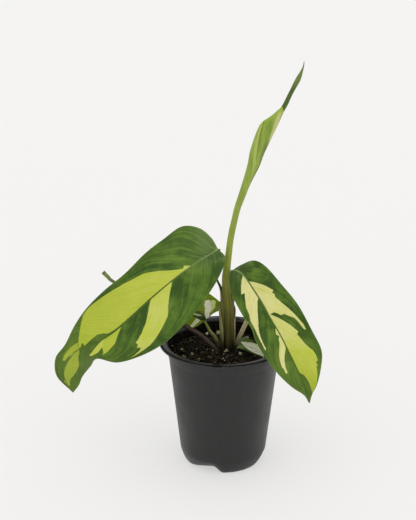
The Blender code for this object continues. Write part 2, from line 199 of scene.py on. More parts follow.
def fromRoute(points, route):
    # the nearest step of the route, and the way from there to each point
    nearest = np.argmin(((points[:, None] - route[None]) ** 2).sum(2), 1)
    return nearest, points - route[nearest]


def alongRings(rings, shares):
    # rings are (centre, radius)
    centres = smoothCurve([centre for centre, _ in rings], shares)
    return centres, smoothCurve([(radius, 0, 0) for _, radius in rings], shares)[:, 0]


def makeTube(name, rings, steps, roundness=6):
    # a path with a round bevel, made a mesh with closed ends
    route, radii = alongRings(rings, np.linspace(0, 1, steps + 1))
    clearSelection()
    bpy.ops.curve.primitive_nurbs_path_add(radius=1)
    path = bpy.context.active_object
    path.data.splines.clear()
    line = path.data.splines.new("POLY")
    line.points.add(steps)
    for point, place, radius in zip(line.points, route, radii):
        point.co = (*(place * mm), 1)
        point.radius = radius
    path.data.dimensions = "3D"
    path.data.bevel_depth = mm
    path.data.bevel_resolution = roundness
    path.data.use_fill_caps = True
    bpy.ops.object.convert(target="MESH")
    piece = named(name)
    mergeClose(piece, 0.02)
    return piece, route


# helpers for materials

def shaderInput(made, name):
    return made.node_tree.nodes["Principled BSDF"].inputs[name]


def newFinish(name, specular):
    made = bpy.data.materials.new(name)
    made.use_nodes = True
    shaderInput(made, "Specular IOR Level").default_value = specular
    return made, made.node_tree


def feed(socket, value):
    # a value is another node's output, a number or a colour
    if isinstance(value, bpy.types.NodeSocket):
        socket.id_data.links.new(value, socket)
    elif isinstance(value, (tuple, list)) and socket.type == "RGBA":
        socket.default_value = (*value[:3], 1.0)
    else:
        socket.default_value = value


def nodeBy(value, kind, **settings):
    # a new node in the material that the value belongs to
    made = value.id_data.nodes.new("ShaderNode" + kind)
    for name, setting in settings.items():
        setattr(made, name, setting)
    return made


def maths(operation, first, second=0.0):
    made = nodeBy(first if isinstance(first, bpy.types.NodeSocket) else second, "Math", operation=operation)
    feed(made.inputs[0], first)
    feed(made.inputs[1], second)
    return made.outputs[0]


def plus(first, *others):
    for other in others:
        first = maths("ADD", first, other)
    return first


def times(first, *others):
    for other in others:
        first = maths("MULTIPLY", first, other)
    return first


def less(first, second):
    return maths("SUBTRACT", first, second)


def rescale(value, low, high, toLow=0.0, toHigh=1.0, soft=True):
    made = nodeBy(value, "MapRange", interpolation_type="SMOOTHSTEP" if soft else "LINEAR")
    feed(made.inputs["Value"], value)
    for name, amount in zip(("From Min", "From Max", "To Min", "To Max"), (low, high, toLow, toHigh)):
        made.inputs[name].default_value = amount
    return made.outputs["Result"]


def mixed(factor, first, second, blend="MIX"):
    made = nodeBy(factor, "Mix", data_type="RGBA", blend_type=blend)
    feed(made.inputs["Factor"], factor)
    feed(made.inputs[6], first)
    feed(made.inputs[7], second)
    return made.outputs[2]


def vector(x, y, z=0.0):
    made = nodeBy(x, "CombineXYZ")
    for socket, value in zip(made.inputs, (x, y, z)):
        feed(socket, value)
    return made.outputs[0]


def speckle(place, scale, detail=3.0, roughness=0.55, distortion=0.0):
    made = nodeBy(place, "TexNoise")
    feed(made.inputs["Vector"], place)
    for name, amount in (
        ("Scale", scale), ("Detail", detail), ("Roughness", roughness), ("Distortion", distortion),
    ):
        made.inputs[name].default_value = amount
    return made.outputs["Fac"]


def stops(value, *colours):
    # each colour is (place, (red, green, blue))
    made = nodeBy(value, "ValToRGB")
    feed(made.inputs[0], value)
    ramp = made.color_ramp
    while len(ramp.elements) < len(colours):
        ramp.elements.new(1.0)
    for element, (place, colour) in zip(ramp.elements, colours):
        element.position = place
        element.color = (*colour, 1.0)
    return made.outputs["Color"]


def stored(tree, *names):
    # what the points keep under these names
    made = []
    for name in names:
        made.append(tree.nodes.new("ShaderNodeAttribute"))
        made[-1].attribute_name = name
    return [node.outputs["Fac"] for node in made]


def inPlace(tree, scale=(1, 1, 1)):
    # the place on the piece in metres, stretched
    place = tree.nodes.new("ShaderNodeTexCoord").outputs["Object"]
    mapping = nodeBy(place, "Mapping")
    mapping.inputs["Scale"].default_value = scale
    feed(mapping.inputs["Vector"], place)
    return mapping.outputs["Vector"]


def parts(place):
    made = nodeBy(place, "SeparateXYZ")
    feed(made.inputs[0], place)
    return made.outputs


def dressed(made, colour, roughness, relief, depth, strength=0.6):
    bump = nodeBy(relief, "Bump")
    feed(bump.inputs["Distance"], depth)
    feed(bump.inputs["Strength"], strength)
    feed(bump.inputs["Height"], relief)
    feed(shaderInput(made, "Normal"), bump.outputs["Normal"])
    feed(shaderInput(made, "Base Color"), colour)
    feed(shaderInput(made, "Roughness"), roughness)
    return made


# camera, floor and light

view = {
    "downward": 19.8,            # degrees that the camera looks down
    "distance": 1150,
    "aim": (-13.8, 0, 190.6),
    "focal": 1322 * 36 / 520,    # the focal length in pixels, on a 36 mm sensor side
    "floor": (0.40, 0.395, 0.388),
    "floorGlow": 0.525,
    "sky": (1.0, 0.995, 0.988),
    "skyStrength": 0.74,
}

pitch = math.radians(view["downward"])
ahead = Vector((0, math.cos(pitch), -math.sin(pitch)))
clearSelection()
bpy.ops.object.camera_add(
    location=(Vector(view["aim"]) - ahead * view["distance"]) * mm,
    rotation=(math.pi / 2 - pitch, 0, 0),
)
camera = bpy.context.active_object
camera.name = "camera"
camera.data.sensor_width = 36
camera.data.sensor_fit = "AUTO"
camera.data.lens = view["focal"]
camera.data.clip_end = 100
bpy.context.scene.camera = camera
bpy.context.scene.view_settings.view_transform = "Standard"
bpy.context.scene.view_settings.look = "None"

world = bpy.data.worlds.new("studio")
world.use_nodes = True
world.node_tree.nodes["Background"].inputs["Color"].default_value = (*view["sky"], 1)
world.node_tree.nodes["Background"].inputs["Strength"].default_value = view["skyStrength"]
bpy.context.scene.world = world

softLights = {
    # where the light comes from, how wide it spreads in degrees, how strong
    "lightFront": ((-500, -900, 1300), 75, 0.50),
    "lightRight": ((900, -350, 700), 70, 0.16),
    "lightBack": ((-200, 900, 1200), 80, 0.22),
}
for name, (place, spread, strength) in softLights.items():
    clearSelection()
    aim = -Vector(place)
    bpy.ops.object.light_add(
        type="SUN", location=Vector(place) * mm, rotation=aim.to_track_quat("-Z", "Y").to_euler()
    )
    lamp = bpy.context.active_object
    lamp.name = name
    lamp.data.angle = math.radians(spread)
    lamp.data.energy = strength

clearSelection()
bpy.ops.mesh.primitive_circle_add(vertices=96, radius=14, fill_type="NGON", location=(0, 0, 0))
floor = named("floor")
floorFinish, floorTree = newFinish("paper", 0.1)
grain = speckle(inPlace(floorTree), 3.0, 2.0)
paper = mixed(grain, view["floor"], [0.985 * part for part in view["floor"]])
for name, value in (
    ("Base Color", paper), ("Roughness", 0.9),
    ("Emission Color", view["sky"]), ("Emission Strength", view["floorGlow"]),
):
    feed(shaderInput(floorFinish, name), value)
floor.data.materials.append(floorFinish)
print("camera, floor and light are set")


# pot: a circle extruded and resized ring by ring, with arches and drain holes in its foot

pot = {
    "height": 115.0, "lipRadius": 57.5, "lipThickness": 1.7, "mouthRadius": 52.0,
    "wall": 1.2, "collarHeight": 13.0, "collarStep": 0.5,
    "topRadius": 50.6, "footTopRadius": 38.8, "heelHeight": 12.0, "footRadius": 32.5,
    "heelCurve": [
        (38.45, 10.6), (37.8, 8.6), (37.1, 6.5), (36.3, 4.6), (35.5, 3.0), (34.6, 1.6), (33.7, 0.55),
    ],
    # the top of the lip with its groove: radius, and height above the lip
    "lipCurve": [(53.4, 0.02), (55.0, -0.06), (55.35, -0.3), (55.6, -0.95), (56.6, -0.95), (56.8, -0.4)],
    "heelRise": 0.4, "floor": 1.6, "sides": 192, "hubRadius": 4.0, "gateRadius": 3.0,
    "arches": 3, "archCentre": 244.0, "archHeight": 5.9, "archInner": 18.0, "archSlope": 5.0,
    # degrees from an arch's centre: where it starts to rise and over how much, the same for its end
    "archStart": -43.0, "archRise": 55.0, "archEnd": 26.0, "archFall": 16.0,
    "holeRadius": 3.4, "holePlace": 27.2,
}


def potRadius(height):
    share = (height - pot["heelHeight"]) / (pot["height"] - pot["heelHeight"])
    return pot["footTopRadius"] + (pot["topRadius"] - pot["footTopRadius"]) * share


def archLift(radius, angle, height, wider=0.0):
    turn = 2 * math.pi / pot["arches"]
    place = (angle - math.radians(pot["archCentre"]) + turn / 2) % turn - turn / 2
    more = wider / np.maximum(radius, 1)
    rise = smooth((place - math.radians(pot["archStart"]) + more) / math.radians(pot["archRise"]))
    fall = smooth((math.radians(pot["archEnd"]) + more - place) / math.radians(pot["archFall"]))
    outward = smooth((radius + wider - pot["archInner"]) / pot["archSlope"])
    low = np.clip((pot["heelHeight"] - height) / (pot["heelHeight"] - pot["floor"]), 0, 1)
    return pot["archHeight"] * rise * fall * outward * low


def makePot():
    top, base, lip, mouth = pot["height"], pot["floor"], pot["lipRadius"], pot["mouthRadius"]
    collar, under, step = top - pot["collarHeight"], top - pot["lipThickness"], pot["collarStep"]
    heel, wall, foot, inner = pot["heelHeight"], pot["wall"], pot["footRadius"], pot["archInner"]
    hub, gate = pot["hubRadius"], pot["gateRadius"]
    archEnds = [inner - 1, inner + 0.5, inner + 2, inner + 3.5, inner + 5]
    rings = [
        # out over the floor and up the inside
        (10, base), *((radius, base) for radius in (*archEnds, foot - 5, foot - 2)),
        *((radius - wall, height + pot["heelRise"]) for radius, height in reversed(pot["heelCurve"][:-1])),
        *((potRadius(height) - wall, height) for height in (heel, 30, 60, 85, collar)),
        (potRadius(under) + step - wall, under - 0.6),
        # over the lip
        (mouth - 0.9, top - 0.8), (mouth - 0.3, top - 0.2), (mouth + 0.3, top),
        *((radius, top + rise) for radius, rise in pot["lipCurve"]),
        (lip - 0.45, top - 0.1), (lip - 0.15, top - 0.2), (lip, top - 0.6), (lip, under + 0.4),
        (lip - 0.15, under + 0.1), (lip - 0.5, under),
        # down the collar and the wall
        (potRadius(under) + step + 0.9, under), (potRadius(under) + step, under - 0.7),
        (potRadius(collar + 1) + step + 0.05, collar + 1.0),
        (potRadius(collar + 0.5) + step - 0.05, collar + 0.45),
        *((potRadius(height), height) for height in (collar, collar - 0.6, 85, 60, 35, 15, heel)),
        # round the heel and in under the floor
        *pot["heelCurve"], (foot, 0), (foot - 3, 0), (foot - 6, 0),
        *((radius, 0) for radius in reversed(archEnds)),
        (inner - 2.4, 0), (inner - 2.8, 0.25), (inner - 3.8, 0.25), (inner - 4.2, 0),
        (gate + 1.2, 0), (gate + 0.8, 0.4), (gate, 0.4),
    ]
    clearSelection()
    bpy.ops.mesh.primitive_circle_add(
        vertices=pot["sides"], radius=hub * mm, location=(0, 0, base * mm), fill_type="NOTHING"
    )
    piece = named("nursery_pot")
    bpy.ops.object.transform_apply(location=True, rotation=True, scale=True)
    bpy.ops.object.mode_set(mode="EDIT")
    bpy.ops.mesh.select_all(action="SELECT")
    extrudeRings(hub, base, rings)
    closeRing()
    # the ring in the middle of the floor, where the wall began, closes too
    bpy.ops.mesh.select_all(action="DESELECT")
    bpy.ops.object.mode_set(mode="OBJECT")
    for vert in piece.data.vertices:
        vert.select = math.hypot(vert.co.x, vert.co.y) < (hub + 0.01) * mm and vert.co.z > (base - 0.1) * mm
    bpy.ops.object.mode_set(mode="EDIT")
    bpy.ops.mesh.select_mode(type="VERT")
    closeRing()
    faceOutwards(piece)

    points = readPoints(piece)
    radii, angles = polar(points)
    points[:, 2] += np.where(radii > 1, archLift(radii, angles, points[:, 2]), 0)
    # moulded walls are never quite round
    wobble = 0.12 * np.sin(3 * angles + 0.6) + 0.08 * np.sin(5 * angles + 2.0)
    points[:, :2] *= (1 + (wobble * smooth(points[:, 2] / 60) / 50))[:, None]
    writePoints(piece, points)

    for index in range(pot["arches"]):
        angle = math.radians(pot["archCentre"]) + index * 2 * math.pi / pot["arches"]
        place = (pot["holePlace"] * math.cos(angle), pot["holePlace"] * math.sin(angle), 6)
        clearSelection()
        bpy.ops.mesh.primitive_cylinder_add(
            vertices=32, radius=pot["holeRadius"] * mm, depth=18 * mm, location=Vector(place) * mm
        )
        punch = named(f"punch{index}")
        hole = piece.modifiers.new("drainHole", "BOOLEAN")
        hole.operation = "DIFFERENCE"
        hole.solver = "EXACT"
        hole.object = punch
        applyModifiers(piece)
        bpy.data.objects.remove(punch)
    smoothShade(piece, 38)
    return piece


potFinish = {
    "dark": (0.0045, 0.0043, 0.0042),
    "worn": (0.0115, 0.0110, 0.0108),
    "rubbed": (0.026, 0.0245, 0.0248),
    # near black: painted shade on the inner wall and in the groove of the lip, also used for dark blotches
    # on the lip
    "soiledAndShaded": (0.0035, 0.003, 0.0025),
    "crumb": (0.055, 0.036, 0.022),
    "dust": (0.10, 0.085, 0.068),
    # heights and radii in metres between which a look begins or ends
    "collarRises": (0.1015, 0.104), "footDustEnds": (0.0, 0.02), "lipDustRises": (0.112, 0.1155),
    "grooveBegins": (0.0551, 0.0554), "grooveEnds": (0.0567, 0.0570), "grooveRises": (0.1138, 0.1139),
    "smearRises": (0.1140, 0.1144), "innerWallRises": (0.03, 0.04),
    # the inner wall: a height, its radius there, and how much wider it is for each metre above
    "innerWall": (0.012, 0.0382, 0.1146),
}


def makePotFinish():
    made, tree = newFinish("grey_pot_plastic", 0.5)
    place = inPlace(tree)
    across, deep, height = parts(place)
    radius = maths("SQRT", plus(times(across, across), times(deep, deep)))
    streaks = speckle(inPlace(tree, (1, 1, 0.03)), 260, 4.0, 0.6)
    blotches = speckle(place, 38, 3.0, 0.6)
    grime = speckle(inPlace(tree, (1, 1, 2.6)), 110, 4.0, 0.65)
    grains = speckle(place, 2600, 2.0, 0.5)
    colour = mixed(rescale(streaks, 0.3, 0.75, 0.15, 0.65), potFinish["dark"], potFinish["worn"])
    colour = mixed(rescale(blotches, 0.45, 0.8, 0, 0.5), colour, potFinish["worn"])
    # the collar is rubbed paler in places
    collar = times(rescale(height, *potFinish["collarRises"]), rescale(grime, 0.40, 0.66))
    collar = times(collar, rescale(blotches, 0.42, 0.62, 0, 0.6))
    colour = mixed(collar, colour, potFinish["rubbed"])
    # a little dried dust near the foot and splashes of mix on the lip
    low = rescale(height, *potFinish["footDustEnds"], 1.0, 0.0)
    high = rescale(height, *potFinish["lipDustRises"], 0.0, 0.8)
    specks = rescale(speckle(place, 900, 3.0, 0.7), 0.60, 0.72)
    colour = mixed(times(maths("MAXIMUM", low, high), specks, 0.35), colour, potFinish["dust"])
    # painted shade, with crumbs of mix on the inner wall: the inner wall and the groove of the lip are
    # darkened nearly black, and dark blotches lie on top of the lip
    start, wide, slope = potFinish["innerWall"]
    within = less(plus(times(less(height, start), slope), wide), radius)
    within = times(rescale(within, -0.0001, 0.0001), rescale(height, *potFinish["innerWallRises"]))
    groove = times(
        rescale(radius, *potFinish["grooveBegins"]), rescale(radius, *potFinish["grooveEnds"], 1.0, 0.0),
        rescale(height, *potFinish["grooveRises"]),
    )
    smear = times(rescale(blotches, 0.50, 0.62, 0, 0.8), rescale(height, *potFinish["smearRises"]))
    soiledAndShaded = times(maths("MAXIMUM", maths("MAXIMUM", within, groove), smear), 0.96)
    clinging = rescale(speckle(place, 520, 4.0, 0.7), 0.56, 0.66)
    clinging = mixed(clinging, potFinish["soiledAndShaded"], potFinish["crumb"])
    colour = mixed(soiledAndShaded, colour, mixed(within, potFinish["soiledAndShaded"], clinging))
    feed(shaderInput(made, "Specular IOR Level"), rescale(soiledAndShaded, 0, 1, 0.48, 0.06))
    roughness = maths("MAXIMUM", rescale(blotches, 0.2, 0.8, 0.36, 0.52), times(soiledAndShaded, 0.9))
    return dressed(made, colour, roughness, plus(times(grains, 0.5), times(streaks, 1.2)), 0.00012, 0.55)


finish(makePot(), makePotFinish(), "pot", "pot")
print("pot is made")


# potting mix: a mounded top of crumbs over a plain plug, with grains and fibres on it

mix = {
    "edge": 102.6, "mound": 1.8, "lumps": 1.0, "cells": 150,
    "crumbs": 0.8, "crumbScale": 0.5,
    # where the stalks stand, how far the mix is piled round them and how far it has no loose grains
    "crown": (4.3, 6.2), "crownRadius": 8.2, "crownRise": 1.6, "bareRadius": 8.6,
    "gap": 0.35, "floor": 1.9,
}
mixRim = potRadius(mix["edge"]) - pot["wall"] - 0.3


def mixHeight(x, y):
    radius = math.hypot(x, y)
    inner = potRadius(mix["edge"]) - pot["wall"]
    mound = mix["mound"] * float(smooth(1 - radius / inner))
    lumps = noise.fractal(Vector((x, y, 3.0)) * 0.16, 0.7, 2.2, 3)
    fade = float(smooth((inner - radius) / 6)) * (0.3 + 0.7 * float(smooth((radius - 8) / 8)))
    return mix["edge"] + mound + mix["lumps"] * lumps * fade


def crumbHeight(x, y):
    # the lumps with crumbs on them, piled a little against the stalks
    coarse = noise.fractal(Vector((x, y, 9.0)) * mix["crumbScale"], 0.9, 2.1, 4)
    pits = min(noise.voronoi(Vector((x, y, 1.0)) * 0.42)[0][0], 0.7)
    away = math.hypot(x - mix["crown"][0], y - mix["crown"][1]) / mix["crownRadius"]
    pile = mix["crownRise"] * float(smooth(1.5 - away)) * 0.6
    return mixHeight(x, y) + mix["crumbs"] * (coarse + 1.4 * (0.35 - pits)) + pile


def makeMix():
    piece, across, along = makeGrid("potting_mix", (mix["cells"], mix["cells"]))
    x = across * np.sqrt(1 - along**2 / 2) * mixRim
    y = along * np.sqrt(1 - across**2 / 2) * mixRim
    z = np.array([crumbHeight(*spot) for spot in zip(x, y)])
    writePoints(piece, np.stack([x, y, z], 1))
    # the plug below: the rim is drawn down inside the pot to its floor and closed
    bpy.ops.object.mode_set(mode="EDIT")
    bpy.ops.mesh.select_all(action="SELECT")
    bpy.ops.mesh.region_to_loop()
    heel, inner, inset = pot["heelHeight"], pot["archInner"], pot["wall"] + mix["gap"]
    rings = [(potRadius(height) - inset, height) for height in (98.0, 60.0, heel + 0.3)]
    rings += [(radius - inset, height + 0.75) for radius, height in pot["heelCurve"][1:6:2]]
    for radius in (30.5, 27, inner + 5, inner + 3, inner + 1, inner - 1, inner - 3):
        rings.append((radius, mix["floor"]))
    extrudeRings(mixRim, mix["edge"], rings, level=True)
    closeRing()
    faceOutwards(piece)
    points = readPoints(piece)
    radii, angles = polar(points)
    lift = archLift(radii, angles, points[:, 2] - 0.3, 2.0) * 1.125
    points[:, 2] += np.where((radii > 1) & (points[:, 2] < heel), lift, 0)
    writePoints(piece, points)
    smoothShade(piece)
    return piece


mixFinish = {
    # dark, middle and light colour of each material
    "dark_potting_mix": ((0.0014, 0.0013, 0.0009), (0.010, 0.0084, 0.0046), (0.042, 0.033, 0.017)),
    "bark": ((0.0045, 0.0039, 0.0022), (0.033, 0.027, 0.014), (0.15, 0.118, 0.066)),
    "weathered_bark": ((0.016, 0.012, 0.009), (0.075, 0.058, 0.042), (0.24, 0.19, 0.14)),
    "old_roots": ((0.035, 0.025, 0.014), (0.09, 0.062, 0.034), (0.20, 0.15, 0.08)),
}


def makeMixFinish(name):
    made, tree = newFinish(name, 0.06)
    dark, middle, light = mixFinish[name]
    place = inPlace(tree)
    lumps = speckle(place, 420, 5.0, 0.7)
    fine = speckle(place, 2200, 3.0, 0.7)
    colour = stops(lumps, (0.35, dark), (0.58, middle), (0.78, light))
    colour = mixed(rescale(fine, 0.55, 0.8, 0, 0.7), colour, light)
    roughness = rescale(fine, 0.3, 0.7, 0.6, 0.95)
    return dressed(made, colour, roughness, plus(lumps, times(fine, 0.5)), 0.0006, 0.9)


finish(makeMix(), makeMixFinish("dark_potting_mix"), "soil", "soil")

crumbs = {
    # loose pieces: how many, half sizes from and to, how flat, how far sunk, seed
    "bark_crumbs": (760, (0.5, 2.5), 0.62, 0.05, 21),
    "bark_chips": (70, (1.2, 3.2), 0.40, 0.0, 44),
    "pale_grains": (120, (0.32, 1.0), 0.8, 0.05, 5),
}
chosenGrains = [
    # x, y and half size of grains that catch the eye
    (-4.6, 42.6, 2.3), (2.6, -1.9, 1.9), (-41.5, 43.0, 1.2), (-43.2, 36.7, 1.3), (-14.7, 41.4, 1.5),
    (-20.2, 39.0, 1.9), (-38.0, 4.7, 2.0), (-35.0, -12.8, 1.7), (-28.0, -6.3, 1.5), (-28.7, -19.3, 1.4),
    (14.7, -5.6, 1.7), (-26.0, -12.0, 0.8), (-21.7, -19.3, 1.0), (-9.3, -1.5, 1.2), (-46.5, 14.0, 1.1),
    (33.0, 26.0, 1.6), (22.0, 34.0, 1.3), (30.0, -27.0, 1.2), (10.0, -33.0, 1.1), (-12.0, 28.0, 1.0),
]


def onStalks(x, y):
    return math.hypot(x - mix["crown"][0], y - mix["crown"][1]) < mix["bareRadius"]


def lump(name, spot, size, flat, sunk, dice, rounds=1):
    # a small stone or crumb: an icosphere pulled about
    clearSelection()
    bpy.ops.mesh.primitive_ico_sphere_add(subdivisions=rounds, radius=1)
    piece = named(name)
    x, y = spot
    points = readPoints(piece) * mm
    stretch = np.array([dice.uniform(0.75, 1.3), dice.uniform(0.75, 1.3), flat * dice.uniform(0.8, 1.2)])
    bulges = [0.8 + 1.25 * noise.noise(Vector(p) * 1.9 + Vector((x, y, 0))) for p in points]
    points = points * np.array(bulges)[:, None] * stretch * size
    turn = dice.uniform(0, math.pi)
    lean = dice.uniform(-0.5, 0.5)
    about = np.array([[math.cos(turn), -math.sin(turn), 0], [math.sin(turn), math.cos(turn), 0], [0, 0, 1]])
    over = np.array([[1, 0, 0], [0, math.cos(lean), -math.sin(lean)], [0, math.sin(lean), math.cos(lean)]])
    points = points @ over.T @ about.T
    points += (x, y, crumbHeight(x, y) + size * flat * (0.5 - sunk))
    writePoints(piece, points)
    return piece


def scatter(name):
    count, (least, most), flat, sunk, seed = crumbs[name]
    dice = random.Random(seed)
    made = []
    while len(made) < count:
        reach = (mixRim - 1.5) * math.sqrt(dice.random())
        angle = dice.uniform(0, 2 * math.pi)
        x, y = reach * math.cos(angle), reach * math.sin(angle)
        size = least + (most - least) * dice.random() ** 2.2
        if onStalks(x, y) or math.hypot(x, y) + size > mixRim:
            continue
        made.append(lump(f"{name}{len(made)}", (x, y), size, flat, sunk, dice))
    if name == "pale_grains":
        for x, y, size in chosenGrains:
            made.append(lump(f"{name}{len(made)}", (x, y), size, 0.85, -0.05, dice, 2))
    piece = joinAll(name, made)
    smoothShade(piece, 50 if name == "pale_grains" else 30)
    return piece


grainFinish = {
    # from the dullest grains to the whitest and to the tan ones, and the colour in their pores
    "grains": [
        (0.32, (0.27, 0.24, 0.11)), (0.44, (0.42, 0.40, 0.23)), (0.55, (0.72, 0.69, 0.55)),
        (0.64, (0.40, 0.34, 0.14)),
    ],
    "pores": (0.10, 0.085, 0.05),
}


def makeGrainFinish():
    made, tree = newFinish("pale_grain", 0.3)
    place = inPlace(tree)
    pores = speckle(place, 2400, 3.0, 0.6)
    colour = stops(speckle(place, 95, 1.0, 0.5), *grainFinish["grains"])
    colour = mixed(rescale(pores, 0.48, 0.70, 0, 0.75), colour, grainFinish["pores"])
    return dressed(made, colour, 0.7, pores, 0.0003, 0.8)


finish(scatter("bark_crumbs"), makeMixFinish("bark"), "soil")
finish(scatter("bark_chips"), makeMixFinish("weathered_bark"), "soil")
finish(scatter("pale_grains"), makeGrainFinish(), "soil")

threads = {
    # roots and slivers that lie on the mix: how many, lengths, half thickness
    "count": 22, "length": (4.0, 12.0), "half": (0.14, 0.36), "seed": 31, "steps": 7,
}


def makeThreads():
    dice = random.Random(threads["seed"])
    made = []
    while len(made) < threads["count"]:
        reach = (mixRim - 7) * math.sqrt(dice.random())
        around = dice.uniform(0, 2 * math.pi)
        x, y = reach * math.cos(around), reach * math.sin(around)
        heading = dice.uniform(0, 2 * math.pi)
        length = dice.uniform(*threads["length"])
        half = dice.uniform(*threads["half"])
        rings = []
        for step in range(4):
            z = crumbHeight(x, y) + half + dice.uniform(0, 0.9)
            rings.append(((x, y, z), half * (1 - 0.15 * step)))
            x += length / 3 * math.cos(heading)
            y += length / 3 * math.sin(heading)
            heading += dice.uniform(-0.9, 0.9)
        if math.hypot(x, y) > mixRim - 1.5 or any(onStalks(*spot[:2]) for spot, _ in rings):
            continue
        piece, _ = makeTube(f"thread{len(made)}", rings, threads["steps"], 1)
        made.append(piece)
    piece = joinAll("roots_and_slivers", made)
    smoothShade(piece, 60)
    return piece


finish(makeThreads(), makeMixFinish("old_roots"), "soil")
print("potting mix is made")


# stalks: paths with a round bevel, made a mesh and given fine ribs

stalks = {
    # route from the buried end up, each point with its radius
    "stalk_rolled": [
        ((4.1, 2.4, 82), 3.0), ((4.1, 2.4, 103), 3.2), ((4, 2.4, 130), 3.3),
        ((3.0, 2.3, 153), 3.6), ((2.3, 2.5, 170), 3.95), ((2.7, 3.1, 181), 3.35),
        ((4.0, 4, 192), 2.9), ((5.8, 4.9, 208), 2.8), ((8.9, 6, 224), 2.8),
        ((12.5, 7.5, 238.6), 2.75), ((16.5, 8.4, 250), 2.0),
    ],
    "stalk_left": [
        ((1.5, 7.4, 82), 2.5), ((1.4, 6.9, 103), 2.7), ((0.9, 6.6, 124), 2.9),
        ((0.3, 6.4, 140), 2.9), ((-0.3, 6.4, 150), 2.6), ((-1.2, 6.2, 158), 2.0),
        ((-3.2, 5.8, 164), 1.2), ((-5.5, 4.2, 169.5), 0.95), ((-7.4, 2.4, 177), 1.0),
        ((-7.6, 0.6, 187), 1.1), ((-5.6, -0.8, 195.4), 1.3), ((-4.2, -2.2, 201), 1.3),
    ],
    "stalk_right": [
        ((7, 7.4, 82), 2.5), ((7, 6.8, 103), 2.6), ((7.1, 6.5, 128), 2.7),
        ((7, 6.6, 148), 2.6), ((9.0, 5.4, 160), 2.3), ((9.9, 1.5, 170), 2.0),
        ((8.4, -2, 177), 1.8), ((6.8, -4.2, 182), 1.4),
    ],
    "stalk_small_left": [
        ((-3.6, 12.5, 92), 2.0), ((-3.6, 12.5, 101), 2.0), ((-4.2, 12.6, 105.6), 1.9),
        ((-7.4, 13, 112), 1.6), ((-12, 13.8, 118), 1.3), ((-17, 14.9, 127.2), 0.9),
    ],
    "stalk_small_right": [
        ((12.4, 1.2, 94), 1.1), ((12.4, 1.2, 101), 1.1), ((12.3, 1.4, 103.6), 1.05),
        ((11.9, 2.6, 105.6), 0.8),
    ],
    "stub_left": [
        ((-5, 2.6, 92), 2.2), ((-5, 2.6, 101), 2.2), ((-8, 2.6, 105.6), 2.2),
        ((-20, 2, 118.2), 2.0), ((-35, 1.5, 128.8), 1.8), ((-65, 5, 147.9), 1.5),
        ((-96.7, 9, 166.7), 1.3), ((-102, 10, 171.1), 1.5), ((-106.4, 11, 175.4), 1.7),
    ],
    "stub_right": [
        ((11.1, 13.6, 92), 2.0), ((11.1, 13.6, 101), 2.0), ((12.1, 14, 106), 2.0),
        ((20.8, 18, 125), 1.9), ((24.8, 21, 132.6), 1.8),
    ],
}
stalkLook = {
    # steps along, depth of the ribs, number of ribs
    "stalk_rolled": (90, 0.07, 11), "stalk_left": (90, 0.08, 9), "stalk_right": (80, 0.08, 9),
    "stalk_small_left": (40, 0.04, 6), "stalk_small_right": (16, 0.03, 6),
    "stub_left": (110, 0.17, 6), "stub_right": (40, 0.14, 6),
}


def makeStalk(node):
    steps, depth, ribs = stalkLook[node]
    piece, route = makeTube(node + "_grown", stalks[node], steps)

    # ribs run along the stalk, and its surface swells and shrinks a little
    points = readPoints(piece)
    nearest, away = fromRoute(points, route)
    reach = np.maximum(np.linalg.norm(away, axis=1), 1e-6)
    bearing = np.arctan2(away[:, 1], away[:, 0])
    swell = np.array([noise.noise(Vector((0, 0, p[2])) * 0.09 + Vector((ribs, 0, 0))) for p in points])
    rise = depth * np.cos(ribs * bearing + 0.02 * points[:, 2]) + 0.12 * swell
    inside = (nearest > 0) & (nearest < steps)
    points += away / reach[:, None] * np.where(inside, rise, 0)[:, None]
    writePoints(piece, points)
    store(piece, along=nearest / steps, bearing=np.sin(bearing * 2 + ribs), beside=np.cos(bearing))
    smoothShade(piece, 50)
    return piece


bundle = {
    # in metres: heights over which the streaks and the shades of the sides fade, and how far the dirt and
    # painted shade at the soil fade
    "streaksFade": (0.150, 0.172), "sidesFade": (0.158, 0.172), "dirtAndShadeFade": 0.0175,
    "dryEdge": (0.46, 0.44, 0.20),
}


def makeStalkFinish(name, lengthwise, streak, dark, roughness=0.37, sides=(), dirtAndShadeTop=0.126, ridged=0.10):
    # colours along the stalk, with a second colour in streaks, and dirt with painted shade towards the soil
    made, tree = newFinish(name, 0.22)
    along, bearing, margin = stored(tree, "along", "bearing", "margin")
    height = parts(inPlace(tree))[2]
    threads = speckle(inPlace(tree, (1, 1, 0.035)), 900, 4.0, 0.65)
    blotches = speckle(inPlace(tree, (1, 1, 0.3)), 240, 3.0, 0.6)
    colour = stops(less(plus(along, times(blotches, 0.10)), 0.05), *lengthwise)
    streaked = rescale(plus(threads, times(bearing, ridged)), 0.50, 0.66, 0, 0.7)
    colour = mixed(times(streaked, rescale(height, *bundle["streaksFade"], 1.0, 0.25)), colour, streak)
    if sides:
        # in the bundle each side of the stalk has its own shade
        across = plus(*stored(tree, "beside"), times(threads, 0.3))
        shades = stops(rescale(across, -0.85, 1.15, soft=False), *sides)
        colour = mixed(rescale(height, *bundle["sidesFade"], 1.0, 0.0), colour, shades, "MULTIPLY")
    colour = mixed(rescale(margin, 0.6, 0.95, 0, 0.7), colour, bundle["dryEdge"])
    # painted shade with some dirt: the stalk darkens towards the soil
    soiledAndShaded = plus(height, times(blotches, 0.012))
    soiledAndShaded = rescale(soiledAndShaded, dirtAndShadeTop - bundle["dirtAndShadeFade"], dirtAndShadeTop, 0.93, 0.0)
    colour = mixed(soiledAndShaded, colour, dark)
    return dressed(made, colour, rescale(threads, 0.3, 0.7, roughness, roughness + 0.2), threads, 0.00025)


